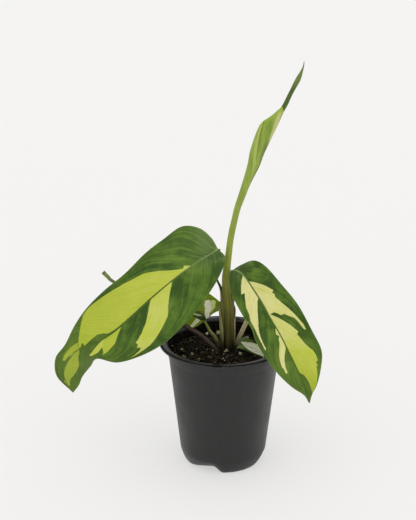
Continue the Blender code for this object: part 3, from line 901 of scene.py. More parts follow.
stalkColours = {
    # stops along the stalk, streak, colour of the dirt and painted shade at the soil
    "stalk_rolled": (
        [(0.0, (0.06, 0.05, 0.016)), (0.16, (0.092, 0.094, 0.018)), (0.22, (0.15, 0.162, 0.024)),
         (0.30, (0.27, 0.285, 0.040)), (0.40, (0.31, 0.34, 0.055)), (0.52, (0.27, 0.33, 0.04)),
         (1.0, (0.29, 0.38, 0.06))],
        (0.13, 0.095, 0.036), (0.010, 0.007, 0.004),
    ),
    "stalk_left": (
        [(0.0, (0.08, 0.065, 0.02)), (0.13, (0.17, 0.155, 0.04)), (0.28, (0.24, 0.225, 0.065)),
         (0.44, (0.20, 0.19, 0.055)), (0.54, (0.045, 0.07, 0.018)), (1.0, (0.05, 0.09, 0.02))],
        (0.11, 0.068, 0.044), (0.010, 0.007, 0.004),
    ),
    "stalk_right": (
        [(0.0, (0.07, 0.05, 0.02)), (0.14, (0.17, 0.145, 0.045)), (0.28, (0.27, 0.24, 0.075)),
         (0.5, (0.27, 0.25, 0.08)), (0.8, (0.20, 0.23, 0.05)), (1.0, (0.12, 0.17, 0.04))],
        (0.15, 0.088, 0.055), (0.010, 0.007, 0.004),
    ),
    "stalk_small_left": (
        [(0.0, (0.30, 0.27, 0.11)), (0.4, (0.44, 0.40, 0.16)), (0.7, (0.36, 0.36, 0.11)),
         (1.0, (0.26, 0.34, 0.07))],
        (0.26, 0.21, 0.09), (0.07, 0.055, 0.028),
    ),
    "stalk_small_right": (
        [(0.0, (0.10, 0.12, 0.04)), (1.0, (0.06, 0.13, 0.03))], (0.06, 0.08, 0.025), (0.02, 0.02, 0.01),
    ),
    "stub_left": (
        [(0.0, (0.05, 0.033, 0.023)), (0.15, (0.07, 0.045, 0.032)), (0.19, (0.22, 0.165, 0.13)),
         (0.27, (0.20, 0.15, 0.12)), (0.34, (0.095, 0.062, 0.045)), (0.5, (0.085, 0.055, 0.038)),
         (0.7, (0.14, 0.17, 0.05)), (0.93, (0.22, 0.30, 0.08)), (1.0, (0.13, 0.16, 0.05))],
        (0.028, 0.018, 0.013), (0.035, 0.02, 0.015),
    ),
    "stub_right": (
        [(0.0, (0.42, 0.34, 0.20)), (0.5, (0.58, 0.52, 0.30)), (0.9, (0.58, 0.56, 0.30)),
         (1.0, (0.40, 0.34, 0.20))],
        (0.44, 0.31, 0.20), (0.20, 0.15, 0.09),
    ),
}
stalkSides = {
    # from the left side of the stalk to its right side
    "stalk_rolled": [
        (0.0, (0.62, 0.54, 0.60)), (0.24, (0.70, 0.66, 0.64)), (0.40, (0.92, 0.98, 0.70)),
        (0.62, (0.95, 1.0, 0.74)), (0.80, (0.60, 0.56, 0.52)), (1.0, (0.78, 0.74, 0.60)),
    ],
}
for node, (lengthwise, streak, dark) in stalkColours.items():
    slot = "old_stalk" if node.startswith("stub") else "stalk"
    ridged = 0.22 if node == "stub_left" else 0.10
    sides = stalkSides.get(node, ())
    skin = makeStalkFinish(node + "_skin", lengthwise, streak, dark, sides=sides, ridged=ridged)
    finish(makeStalk(node), skin, slot, node)


# sheath: a thin shell that clasps the stalks, open at the front and torn at its top

sheath = {
    "middle": (4.3, 6.2), "lean": -1.3, "foot": (5.6, 6.0), "top": (6.9, 6.0), "turn": 14.0,
    "wall": 0.5, "low": 94.0, "high": 149.0,
    "reach": 136.0, "reachLoss": (10.0, 52.0), "cells": (72, 96),
}


def makeSheath():
    piece, across, up = makeGrid("leaf_sheath", sheath["cells"])
    up = (up + 1) / 2
    steady, late = sheath["reachLoss"]
    reach = np.radians(sheath["reach"] - steady * up - late * up**10)
    angle = math.radians(90 + sheath["turn"]) + across * reach
    # the free edges flare, and dry out in small waves
    edge = smooth((np.abs(across) - 0.8) / 0.2)
    flare = 0.35 * edge * np.sin(up * 17 + np.sign(across)) * smooth(up * 3 - 0.3)
    nerve = 0.06 * np.cos(across * 52)
    wide, deep = (
        foot + (top - foot) * up + 0.15 + flare + nerve for foot, top in zip(sheath["foot"], sheath["top"])
    )
    x = sheath["middle"][0] + sheath["lean"] * up + wide * np.cos(angle)
    y = sheath["middle"][1] + deep * np.sin(angle)
    ragged = np.array([noise.noise(Vector((a * 2.3, 0, 4))) for a in across * 3])
    top = sheath["high"] - 3.5 * np.abs(across) ** 2 + 1.6 * ragged
    z = sheath["low"] + (top - sheath["low"]) * up
    writePoints(piece, np.stack([x, y, z], 1))
    store(piece, margin=edge)
    thicken(piece, sheath["wall"], 1)
    points = readPoints(piece)
    bearing = np.arctan2(points[:, 1] - sheath["middle"][1], points[:, 0] - sheath["middle"][0])
    along = (points[:, 2] - sheath["low"]) / (sheath["high"] - sheath["low"])
    store(piece, along=along, bearing=np.sin(bearing))
    smoothShade(piece, 60)
    return piece


sheathColours = [
    (0.0, (0.10, 0.082, 0.035)), (0.3, (0.22, 0.20, 0.08)), (0.6, (0.40, 0.39, 0.16)),
    (1.0, (0.30, 0.34, 0.08)),
]
sheathSkin = makeStalkFinish(
    "sheath_skin", sheathColours, (0.20, 0.15, 0.075), (0.018, 0.014, 0.008), 0.45, dirtAndShadeTop=0.131,
)
finish(makeSheath(), sheathSkin, "sheath", "sheath")
print("stalks and sheath are made")


# broad leaves: a grid laid on rows of midrib, left edge and right edge

leftLeaf = {
    "rows": [
        ((-5, -3, 202), (-5.6, -2.4, 202.6), (-4.4, -3.8, 201.4)),
        ((-12, -6, 198), (-11, 3, 210), (1, -9, 197)),
        ((-21, -10, 194), (-22, 6, 218), (0, -13, 190)),
        ((-34, -15, 186), (-37, 7, 219), (-7, -22, 178)),
        ((-49, -20, 175), (-53, 5, 208), (-18, -33, 165)),
        ((-64, -25, 163), (-68, 1, 197), (-32, -44, 151)),
        ((-81, -30, 148), (-86, -6, 180), (-49, -53, 136)),
        ((-96, -34, 136), (-103, -14, 168), (-69, -56, 125)),
        ((-109, -35, 128), (-118, -21, 155), (-91, -51, 116)),
        ((-123, -34, 122), (-129, -25, 140), (-109, -41, 115)),
        ((-135, -30, 112), (-138, -26, 122), (-116, -30, 103)),
        ((-141, -24, 97), (-147, -24, 108), (-124, -22, 90)),
        ((-139, -20, 83), (-147, -20, 89), (-128, -19, 80)),
        ((-133.6, -18, 72), (-134, -18, 72.2), (-133.2, -18, 72.2)),
    ],
    "length": 215, "cells": (300, 116), "cup": 0.05, "waves": 2.5, "wave": 0.02,
    "slant": (0.26, 0.19), "veinGap": 4.6, "ripple": 0.24, "seed": 3,
    # pale markings as outlines of (share of the midrib, side), with how creamy each one is
    "marks": [
        ((0.40, 0.0), [
            (0.20, -0.01), (0.233, -0.12), (0.234, -0.06), (0.28, -0.20), (0.333, -0.39), (0.40, -0.61),
            (0.467, -0.80), (0.527, -0.87), (0.567, -0.91), (0.61, -0.95), (0.643, -0.93), (0.663, -0.77),
            (0.68, -0.56), (0.69, -0.41), (0.70, -0.25), (0.703, -0.06), (0.696, -0.04), (0.681, -0.18),
            (0.675, -0.03), (0.64, -0.14), (0.607, -0.18), (0.58, -0.13), (0.56, -0.06), (0.53, -0.035),
            (0.30, -0.02),
        ]),
        (-0.15, [
            (0.705, -0.04), (0.702, -0.30), (0.74, -0.38), (0.79, -0.45), (0.812, -0.30), (0.80, -0.10),
            (0.79, -0.01), (0.75, 0.06), (0.72, 0.03),
        ]),
        (0.40, [
            (0.287, 0.0), (0.30, 0.08), (0.34, 0.28), (0.373, 0.45), (0.40, 0.61), (0.427, 0.69),
            (0.467, 0.79), (0.497, 0.86), (0.533, 0.90), (0.57, 0.955), (0.533, 0.86), (0.521, 0.80),
            (0.53, 0.75), (0.519, 0.70), (0.517, 0.61), (0.48, 0.49), (0.44, 0.33), (0.40, 0.11),
            (0.38, 0.0),
        ]),
        (0.10, [
            (0.50, 0.01), (0.533, 0.155), (0.56, 0.30), (0.58, 0.375), (0.617, 0.515), (0.648, 0.64),
            (0.63, 0.50), (0.62, 0.34), (0.615, 0.24), (0.597, 0.10), (0.58, 0.01),
        ]),
        (0.35, [
            (0.575, 0.01), (0.60, 0.15), (0.63, 0.33), (0.65, 0.48), (0.673, 0.62), (0.697, 0.73),
            (0.703, 0.62), (0.68, 0.50), (0.653, 0.28), (0.63, 0.14), (0.61, 0.06), (0.59, 0.01),
        ]),
        (-0.20, [
            (0.705, 0.01), (0.72, 0.19), (0.747, 0.34), (0.77, 0.48), (0.793, 0.59), (0.827, 0.63),
            (0.86, 0.56), (0.887, 0.41), (0.913, 0.31), (0.94, 0.28), (0.945, 0.05), (0.925, -0.22),
            (0.905, -0.03), (0.887, 0.03), (0.833, 0.10), (0.77, 0.11), (0.727, 0.06),
        ]),
    ],
}
rightLeaf = {
    "rows": [
        ((7, -5, 183), (6, -5.4, 182.6), (8, -4.6, 183.4)),
        ((12, -7, 183), (5, -8, 180), (15, -5, 188)),
        ((18, -10, 179), (5, -12, 172), (26, -5, 192)),
        ((25, -18, 171), (8, -19, 163), (36, -12, 189)),
        ((33, -28, 161), (15, -29, 152), (49, -23, 177)),
        ((40, -36, 150), (23, -40, 143), (63, -33, 162)),
        ((48, -43, 138), (27, -49, 134), (75, -40, 141)),
        ((55, -48, 125), (35, -57, 123), (83, -45, 125)),
        ((61, -51, 113), (46, -60, 109), (83, -48, 110)),
        ((67, -52, 100), (58, -58, 96), (80, -49, 94)),
        ((71, -50, 87), (69, -53, 86), (76, -48, 84)),
        ((74, -47.5, 76), (73.6, -47.6, 76.2), (74.4, -47.4, 76.2)),
    ],
    "length": 148, "cells": (230, 96), "cup": 0.06, "waves": 2.0, "wave": 0.02,
    "slant": (0.19, 0.20), "veinGap": 4.2, "ripple": 0.21, "seed": 8,
    "marks": [
        (0.85, [
            (0.165, -0.04), (0.192, -0.23), (0.23, -0.42), (0.277, -0.61), (0.28, -0.50), (0.277, -0.43),
            (0.308, -0.55), (0.346, -0.69), (0.385, -0.73), (0.42, -0.85), (0.46, -0.865), (0.523, -0.84),
            (0.57, -0.83), (0.603, -0.86), (0.592, -0.79), (0.55, -0.775), (0.49, -0.735), (0.46, -0.67),
            (0.43, -0.53), (0.385, -0.33), (0.346, -0.15), (0.33, -0.04),
        ]),
        (0.75, [
            (0.505, -0.03), (0.538, -0.16), (0.543, -0.09), (0.55, -0.06), (0.565, -0.17), (0.573, -0.155),
            (0.592, -0.235), (0.638, -0.45), (0.677, -0.58), (0.704, -0.66), (0.711, -0.625),
            (0.742, -0.69), (0.738, -0.58), (0.708, -0.50), (0.677, -0.375), (0.646, -0.235),
            (0.627, -0.11), (0.608, -0.03),
        ]),
        (0.70, [
            (0.223, 0.01), (0.254, 0.17), (0.292, 0.34), (0.33, 0.515), (0.358, 0.63), (0.364, 0.525),
            (0.373, 0.58), (0.385, 0.525), (0.43, 0.625), (0.477, 0.735), (0.52, 0.84), (0.538, 0.84),
            (0.538, 0.78), (0.492, 0.69), (0.48, 0.59), (0.462, 0.45), (0.46, 0.34), (0.438, 0.23),
            (0.431, 0.08), (0.45, 0.01),
        ]),
        ((0.75, -0.05), [
            (0.431, 0.01), (0.438, 0.08), (0.469, 0.25), (0.508, 0.44), (0.542, 0.57), (0.55, 0.50),
            (0.60, 0.58), (0.623, 0.66), (0.631, 0.72), (0.66, 0.80), (0.69, 0.85), (0.70, 0.78),
            (0.715, 0.86), (0.723, 0.80), (0.738, 0.84), (0.77, 0.89), (0.81, 0.94), (0.85, 0.96),
            (0.90, 0.97), (0.885, 0.81), (0.846, 0.56), (0.808, 0.375), (0.777, 0.19), (0.77, 0.01),
        ]),
    ],
}
smallLeftLeaf = {
    "rows": [
        ((-17, 15, 127), (-17.8, 15, 126.2), (-16.2, 15, 127.8)),
        ((-22, 14.6, 134), (-27, 15.5, 120), (-9.4, 14.4, 134.4)),
        ((-29, 14, 142), (-36, 15, 123), (-0.3, 14.2, 141.4)),
        ((-38, 13, 150), (-46, 14, 134), (-13.5, 12.5, 155)),
        ((-48, 11, 158), (-56, 12, 147), (-33, 10, 166)),
        ((-60, 9, 167), (-60.6, 9, 166.4), (-59.4, 9, 167.4)),
    ],
    "length": 62, "cells": (120, 84), "cup": 0.06, "waves": 0, "wave": 0,
    "slant": (0.22, 0.22), "veinGap": 3.2, "ripple": 0.10, "seed": 12,
    "marks": [
        (0.55, [
            (0.16, -0.09), (0.10, -0.26), (0.12, -0.50), (0.16, -0.74), (0.22, -0.985), (0.29, -0.93),
            (0.24, -0.60), (0.22, -0.30),
        ]),
        (1.0, [
            (0.02, 0.84), (0.03, 0.50), (0.12, 0.42), (0.24, 0.40), (0.32, 0.40), (0.41, 0.41),
            (0.48, 0.54), (0.51, 0.74), (0.44, 0.66), (0.39, 0.62), (0.33, 0.63), (0.21, 0.74),
            (0.09, 0.98),
        ]),
        (-0.40, [
            (0.45, 0.66), (0.50, 0.80), (0.49, 0.90), (0.41, 0.76), (0.31, 0.73), (0.22, 0.82),
            (0.23, 0.73), (0.33, 0.64), (0.40, 0.63),
        ]),
    ],
}
smallRightLeaf = {
    "rows": [
        ((11.8, 3.4, 106), (11.4, 2.4, 105.8), (12.2, 4.4, 106.2)),
        ((16.5, 1.5, 108.5), (15.3, -1.0, 107), (17.5, 8.5, 114)),
        ((22.5, -4.5, 109), (21.2, -7.2, 107.4), (23.5, 1, 115)),
        ((28, -10.5, 109), (26.8, -13.6, 107.4), (28.8, -6.5, 114.5)),
        ((33, -15.5, 108.5), (32, -18.6, 107.4), (33, -11, 112.5)),
        ((36, -18, 109), (34.8, -22, 107), (36.2, -13.5, 112)),
        ((34.2, -17.5, 111), (33.2, -21.5, 109), (34, -13, 113.8)),
        ((28.5, -13.5, 112.4), (27, -18, 110.2), (29, -9.8, 115)),
        ((22, -8, 113), (20.8, -11.5, 111.4), (22.8, -5.2, 115)),
        ((15.6, -1.8, 113.6), (15.4, -2.2, 113.5), (15.8, -1.4, 113.8)),
    ],
    "length": 70, "cells": (150, 56), "cup": 0.05, "waves": 0, "wave": 0,
    "slant": (0.12, 0.12), "veinGap": 2.6, "ripple": 0.08, "seed": 17, "fold": 0.57,
    "marks": [],
}


def outlineDistance(points, outline):
    # how far each point lies inside a closed outline, less than nothing outside it
    outline = np.asarray(outline, float)
    nearest = np.full(len(points), 1e9)
    inside = np.zeros(len(points), bool)
    for start, end in zip(outline, np.roll(outline, -1, 0)):
        line = end - start
        share = np.clip(((points - start) @ line) / max(line @ line, 1e-9), 0, 1)
        nearest = np.minimum(nearest, np.linalg.norm(points - start - share[:, None] * line, axis=1))
        crosses = (start[1] > points[:, 1]) != (end[1] > points[:, 1])
        with np.errstate(divide="ignore", invalid="ignore"):
            at = start[0] + (points[:, 1] - start[1]) / (end[1] - start[1]) * line[0]
        inside ^= crosses & (points[:, 0] < at)
    return np.where(inside, nearest, -nearest)


def creamAcross(cream, outline, share):
    # one creaminess for the whole marking, or one at its start and one at its end
    if isinstance(cream, tuple):
        places = [place for place, _ in outline]
        return np.interp(share, (min(places), max(places)), cream)
    return np.full(len(share), cream)


def leafSurface(leaf, share, side):
    # the upper face of the blade without its veins, its face direction and half width
    mids = [row[0] for row in leaf["rows"]]
    mid = smoothCurve(mids, share)
    left = smoothCurve([row[1] for row in leaf["rows"]], share)
    right = smoothCurve([row[2] for row in leaf["rows"]], share)
    half = np.where((side < 0)[:, None], left, right) - mid
    face = unit(np.cross(headings(mids, share), half) * np.where(side < 0, -1, 1)[:, None])
    width = np.linalg.norm(half, axis=1)
    reach = np.abs(side)
    rise = leaf["cup"] * 4 * reach * (1 - reach)
    rise += leaf["wave"] * reach**2 * np.sin(2 * math.pi * leaf["waves"] * share)
    return mid + half * reach[:, None] + face * (width * rise)[:, None], face, width


blade = {
    "wander": 1.4,      # how far the side veins wander
    "swell": 0.65,      # how high the blade swells between them
    "ribDepth": 0.35,   # how deep the midrib lies
    "veinBend": 0.13,   # how sharply the veins bend at the margin
}


def makeLeaf(name, leaf, thickness=0.42, rib=1.5):
    piece, share, side = makeGrid(name, leaf["cells"])
    share = np.clip((share + 1) / 2, 0, 1)
    side = np.sign(side) * np.abs(side) ** 1.15
    reach = np.abs(side)
    places, face, width = leafSurface(leaf, share, side)
    fromRib = reach * width
    fromEdge = (1 - reach) * width
    slant = np.where(side < 0, *leaf["slant"])
    vein = (share - slant * reach - blade["veinBend"] * reach**8) * leaf["length"]

    # side veins press in, the blade swells between them, and nothing is quite even
    seed = leaf["seed"]
    drift = np.array([noise.noise(Vector((v * 0.11, s * 1.6, seed))) for v, s in zip(vein, side)])
    uneven = np.array([noise.noise(Vector((v * 0.035, s * 1.3, seed + 5))) for v, s in zip(vein, side)])
    beat = 2 * math.pi * (vein + blade["wander"] * drift) / leaf["veinGap"]
    fade = smooth(fromRib / 4) * smooth(fromEdge / 3) * smooth(share * 14) * smooth((1 - share) * 12)
    relief = leaf["ripple"] * (0.6 + 0.7 * uneven) * np.cos(beat) * fade
    middle = smooth(share * 10) * smooth((1 - share) * 10)
    relief += blade["swell"] * uneven * smooth(fromRib / 10) * middle
    groove = np.exp(-(fromRib / 0.8) ** 2) * smooth(share * 20) * smooth((1 - share) * 6)
    relief -= blade["ribDepth"] * groove
    writePoints(piece, places + face * relief[:, None])

    distance = np.full(len(share), -9.0)
    creamy = np.zeros(len(share))
    halfWidth = float(np.max(width))
    onLeaf = np.stack([share * leaf["length"], side * halfWidth], 1)
    for cream, outline in leaf["marks"]:
        scaled = [(a * leaf["length"], b * halfWidth) for a, b in outline]
        here = outlineDistance(onLeaf, scaled)
        creamy = np.where(here > distance, creamAcross(cream, outline, share), creamy)
        distance = np.maximum(distance, here)
    fold = smooth((share - leaf["fold"]) / 0.03) if "fold" in leaf else np.zeros(len(share))
    store(piece, mark=np.clip(distance, -6, 6), creamy=creamy, vein=vein + drift, side=side, share=share)
    store(piece, fromRib=fromRib, fromEdge=fromEdge, fold=fold, under=np.zeros(len(share)))

    group = piece.vertex_groups.new(name="thickness")
    least = thickness / rib
    weights = least + (1 - least) * np.exp(-(fromRib / 0.9) ** 2) * (1 - 0.8 * share)
    for index, weight in enumerate(weights):
        group.add([index], float(weight), "REPLACE")
    mergeClose(piece, 0.03)
    upper = len(piece.data.vertices)
    thicken(piece, rib, vertex_group="thickness", use_quality_normals=True)
    store(piece, under=np.arange(len(piece.data.vertices)) >= upper)
    smoothShade(piece, 70)
    return piece


leafColours = {
    "deep": (0.034, 0.080, 0.008), "fresh": (0.088, 0.168, 0.016), "bright": (0.15, 0.235, 0.034),
    "veins": (0.11, 0.18, 0.03), "dull": (0.25, 0.33, 0.05),
    "lime": (0.42, 0.50, 0.038), "limeLight": (0.53, 0.59, 0.075), "cream": (0.76, 0.72, 0.31),
    "rib": (0.10, 0.16, 0.022), "ribPale": (0.27, 0.38, 0.13), "edge": (0.12, 0.21, 0.03),
    "under": (0.20, 0.27, 0.10), "underPale": (0.62, 0.64, 0.34),
    # the base colour is a painted greyish sheen near the foot of the blade
    "underDull": (0.58, 0.62, 0.27), "base": (0.14, 0.205, 0.075),
    # the last colour is a painted sheen that the upper side veins glint with
    "fold": (0.27, 0.28, 0.18), "foldLight": (0.47, 0.47, 0.35), "paintedSheen": (0.215, 0.345, 0.062),
}


def makeLeafFinish(name, colours, paintedSheen=0.0):
    made, tree = newFinish(name, 0.14)
    vein, side, share, fromRib, fromEdge = stored(tree, "vein", "side", "share", "fromRib", "fromEdge")
    mark, creamy, under, fold = stored(tree, "mark", "creamy", "under", "fold")
    fine = speckle(vector(times(vein, 0.75), times(side, 2.6)), 1.0, 4.0, 0.65)
    broad = speckle(vector(times(vein, 0.17), times(side, 1.3), 3.0), 1.0, 2.0, 0.5)
    hairs = speckle(vector(times(vein, 3.2), side, 7.0), 1.0, 2.0, 0.5)
    patches = speckle(inPlace(tree), 62, 3.0, 0.55, 0.4)
    cells = speckle(inPlace(tree), 2600, 2.0, 0.5)

    # green tissue in soft patches and in streaks that follow the side veins
    tone = plus(times(fine, 0.24), times(broad, 0.34), times(patches, 0.42))
    green = mixed(rescale(tone, 0.43, 0.57), colours["deep"], colours["fresh"])
    green = mixed(rescale(tone, 0.53, 0.64, 0, 0.7), green, colours["bright"])
    green = mixed(rescale(hairs, 0.55, 0.75, 0, 0.16), green, colours["veins"])
    green = mixed(rescale(share, 0.44, 0.80, 0, 0.48), green, colours["bright"])
    if paintedSheen:
        # painted highlight: side veins of the upper part glint
        upper = times(rescale(share, 0.40, 0.12), rescale(side, -0.05, -0.35))
        glints = rescale(plus(times(fine, 0.35), times(broad, 0.65)), 0.48, 0.60, 0.35 * paintedSheen, paintedSheen)
        green = mixed(times(upper, glints), green, colours["paintedSheen"])
    # painted sheen: a greyish shine near the foot of the blade, in soft patches
    sheenAtBase = times(rescale(share, 0.07, 0.24, 1.0, 0.0), rescale(patches, 0.40, 0.57, 0.25, 0.8))
    green = mixed(sheenAtBase, green, colours["base"])

    # pale tissue, from dull lime to cream, with greener threads in it
    cream = plus(creamy, plus(times(less(fine, 0.5), 0.75), times(less(patches, 0.5), 0.5)))
    pale = stops(
        rescale(cream, -0.5, 1.0, soft=False), (0.0, colours["dull"]), (0.33, colours["lime"]),
        (0.56, colours["limeLight"]), (0.88, colours["cream"]),
    )
    pale = mixed(rescale(hairs, 0.52, 0.78, 0, 0.38), pale, colours["lime"])
    pale = mixed(rescale(fine, 0.55, 0.70, 0, 0.40), pale, colours["dull"])
    pale = mixed(rescale(broad, 0.56, 0.66, 0, 0.30), pale, colours["lime"])

    # the border between them is ragged along the veins
    ragged = plus(times(less(fine, 0.5), 1.5), times(less(hairs, 0.5), 0.8))
    border = rescale(plus(mark, ragged), -0.22, 0.22)
    colour = mixed(border, green, pale)

    # midrib and margin
    ribColour = mixed(rescale(share, 0.05, 0.35), colours["ribPale"], colours["rib"])
    ribWidth = times(fromRib, rescale(share, 0.0, 0.35, 0.6, 1.0))
    colour = mixed(rescale(ribWidth, 0.25, 0.75, 0.9, 0.0), colour, ribColour)
    colour = mixed(rescale(fromEdge, 0.1, 0.7, 0.6, 0.0), colour, colours["edge"])

    # the underside is paler and duller, with the same markings
    below = mixed(rescale(cream, -0.3, 0.9, soft=False), colours["underDull"], colours["underPale"])
    below = mixed(border, colours["under"], below)
    below = mixed(rescale(fine, 0.4, 0.7, 0, 0.3), below, colours["veins"])
    below = mixed(rescale(fromRib, 0.5, 1.2, 0.8, 0.0), below, colours["ribPale"])
    colour = mixed(under, colour, below)

    # where a blade folds back it shows a silvery face with fine veins
    silver = rescale(plus(fine, times(hairs, 0.4)), 0.58, 0.80)
    colour = mixed(fold, colour, mixed(silver, colours["foldLight"], colours["fold"]))
    roughness = plus(times(fine, 0.16), times(under, 0.2), 0.30)
    return dressed(made, colour, roughness, plus(times(hairs, 0.7), times(cells, 0.25)), 0.00018, 0.5)


broadFinish = makeLeafFinish("variegated_leaf", leafColours)
# this finish paints a sheen on the upper part of the blade
paintedSheenFinish = makeLeafFinish("variegated_leaf_painted_sheen", leafColours, paintedSheen=0.6)
finish(makeLeaf("left_leaf_blade", leftLeaf), paintedSheenFinish, "leaf", "leaf_left")
finish(makeLeaf("right_leaf_blade", rightLeaf), broadFinish, "leaf", "leaf_right")
paleColours = dict(
    leafColours,
    deep=(0.14, 0.20, 0.015), fresh=(0.24, 0.33, 0.03), bright=(0.44, 0.52, 0.16),
    dull=(0.33, 0.41, 0.08), lime=(0.40, 0.48, 0.12), limeLight=(0.55, 0.60, 0.26),
    cream=(0.70, 0.69, 0.54), edge=(0.34, 0.46, 0.06), base=(0.24, 0.32, 0.06),
    under=(0.22, 0.31, 0.04), underDull=(0.68, 0.75, 0.44), underPale=(0.98, 0.97, 0.87),
)
youngFinish = makeLeafFinish("young_leaf", paleColours)
# daylight from behind comes through the thin young blade
for name, value in (("Weight", 0.9), ("Radius", (1.0, 1.0, 0.6)), ("Scale", 0.0013)):
    shaderInput(youngFinish, "Subsurface " + name).default_value = value
youngBlade = makeLeaf("small_left_leaf_blade", smallLeftLeaf, 0.35, 0.8)
finish(youngBlade, youngFinish, "leaf_pale", "leaf_small_left")
lowColours = dict(
    leafColours, deep=(0.055, 0.115, 0.014), fresh=(0.12, 0.20, 0.03),
    fold=(0.46, 0.48, 0.32), foldLight=(0.74, 0.74, 0.58),
)
lowBlade = makeLeaf("small_right_leaf_blade", smallRightLeaf, 0.35, 0.7)
finish(lowBlade, makeLeafFinish("low_leaf", lowColours), "leaf", "leaf_small_right")
print("broad leaves are made")


# rolled leaves: a sheet wound round its route, its free margin running round it

rolledLeaf = {
    "rings": [
        ((12.6, 7.6, 238.8), 2.85), ((14.6, 8, 244.5), 3.0), ((19.7, 9, 258.6), 3.7),
        ((25.4, 10.5, 273.7), 5.3), ((28.1, 11.5, 283.6), 6.1), ((32.6, 12.5, 295.7), 6.8),
        ((37.0, 13.3, 305.6), 7.0), ((41.6, 14.2, 315.6), 6.9), ((46.2, 15.1, 325.6), 6.7),
    ],
    # height and bearing in degrees of the free margin: 0 is the right side, 90 the front
    "margin": [
        (238.8, -6), (251, 25), (261, 48), (270.5, 70), (284, 98), (298, 127), (310, 148), (326, 172),
    ],
    "turns": 1.32, "step": 0.10, "thickness": 0.38, "cells": (150, 220),
    # the blade ends on two planes, each given by a point and the direction it faces
    "cuts": [((33.2, 14.6, 310.2), (-0.572, 0.32, 0.755)), ((49.4, 14.0, 322.6), (0.952, 0.0, 0.305))],
    "core": [
        ((32, 12.4, 293), 3.0), ((36.4, 13.0, 301), 3.2), ((42.8, 13.8, 311), 2.6),
        ((47.3, 14.3, 317.5), 2.05), ((49.8, 14.7, 321.6), 2.05), ((52.4, 15, 326.5), 2.0),
        ((54.9, 15.5, 332), 1.9), ((57.5, 16, 337.3), 1.9), ((59.9, 16.4, 342), 2.1),
        ((62, 16.8, 346), 2.2), ((63.6, 17.05, 349.5), 1.75), ((64.6, 17.2, 352), 1.3),
        ((65.6, 17.5, 354.6), 0.85), ((66.3, 17.65, 356.8), 0.5), ((66.7, 17.85, 359), 0.38),
        ((66.8, 18, 361), 0.28),
    ],
    "coreMargin": [(293, 150), (326, 120), (361, 60)],
}
curledLeaf = {
    "rings": [
        ((-16.2, 12.4, 129.8), 1.15), ((-18.6, 10.4, 132.4), 2.75), ((-22, 9.4, 134.6), 2.75),
        ((-26, 9.3, 136.2), 1.85), ((-29, 9.5, 137), 0.75),
    ],
    "margin": [(129.8, 20), (132, 60), (135, 100), (137, 150)],
    "turns": 1.25, "step": 0.18, "thickness": 0.3, "cells": (72, 70),
}


def pastCuts(roll, place):
    # how far a place lies beyond the nearest end of the blade
    if "cuts" not in roll:
        return np.full(len(place), -99.0)
    return np.max([(place - point) @ np.array(face) for point, face in roll["cuts"]], axis=0)


def onRoll(roll, share, turn):
    # turn counts from 0 at the free margin to the number of turns at the hidden end
    centre, radius = alongRings(roll["rings"], share)
    ahead = unit(headings([point for point, _ in roll["rings"]], share))
    front = unit(np.array([0, -1, 0]) + ahead[:, 1:2] * ahead)
    beside = np.cross(ahead, front)
    start = np.interp(centre[:, 2], *zip(*roll["margin"]))
    angle = np.radians(start) + 2 * math.pi * turn
    reach = radius * (1 + roll["step"] * (0.5 - np.minimum(turn, 1.4)))
    place = centre + reach[:, None] * (np.cos(angle)[:, None] * beside + np.sin(angle)[:, None] * front)
    return place, angle, radius


def makeRoll(name, roll):
    piece, turn, share = makeGrid(name, roll["cells"])
    turn = (turn + 1) / 2 * roll["turns"]
    share = (share + 1) / 2
    if "cuts" in roll:
        # the blade ends on slanting lines, so every lengthwise row is shortened to meet them
        tries = np.linspace(0, 1, 160)
        ends = {}
        for value in np.unique(np.round(turn, 6)):
            past = pastCuts(roll, onRoll(roll, tries, np.full(160, value))[0])
            past += 0.35 * math.sin(value * 9) + 0.2 * math.sin(value * 23)
            ends[value] = float(np.interp(0, past[60:], tries[60:]))
        share = share * np.array([ends[value] for value in np.round(turn, 6)])
    place, angle, radius = onRoll(roll, share, turn)
    writePoints(piece, place)
    store(piece, bearing=np.degrees(angle) % 360, height=place[:, 2], core=np.zeros(len(turn)))
    store(piece, fromEdge=turn * 2 * math.pi * radius, fromCut=-pastCuts(roll, place))
    # the outer face must look away from the route
    middle = piece.data.polygons[len(piece.data.polygons) // 2]
    centre = alongRings(roll["rings"], [0.5])[0][0] * mm
    if middle.normal.dot(middle.center - Vector(centre)) < 0:
        editMesh(piece, bpy.ops.mesh.flip_normals)
    thicken(piece, roll["thickness"], use_quality_normals=True)
    smoothShade(piece, 60)
    return piece


def makeCore(roll):
    # the tight inner roll, with its own free margin as a low step along it
    piece, route = makeTube("inner_roll", roll["core"], 200)
    points = readPoints(piece)
    _, away = fromRoute(points, route)
    bearing = np.degrees(np.arctan2(-away[:, 1], away[:, 0])) % 360
    margin = np.interp(points[:, 2], *zip(*roll["coreMargin"]))
    step = ((bearing - margin) % 360) / 360
    points += away * (0.09 * (0.5 - step))[:, None]
    writePoints(piece, points)
    store(piece, bearing=bearing, height=points[:, 2], core=np.ones(len(points)))
    store(piece, fromEdge=step * 12, fromCut=np.full(len(points), 99.0))
    smoothShade(piece, 50)
    return piece


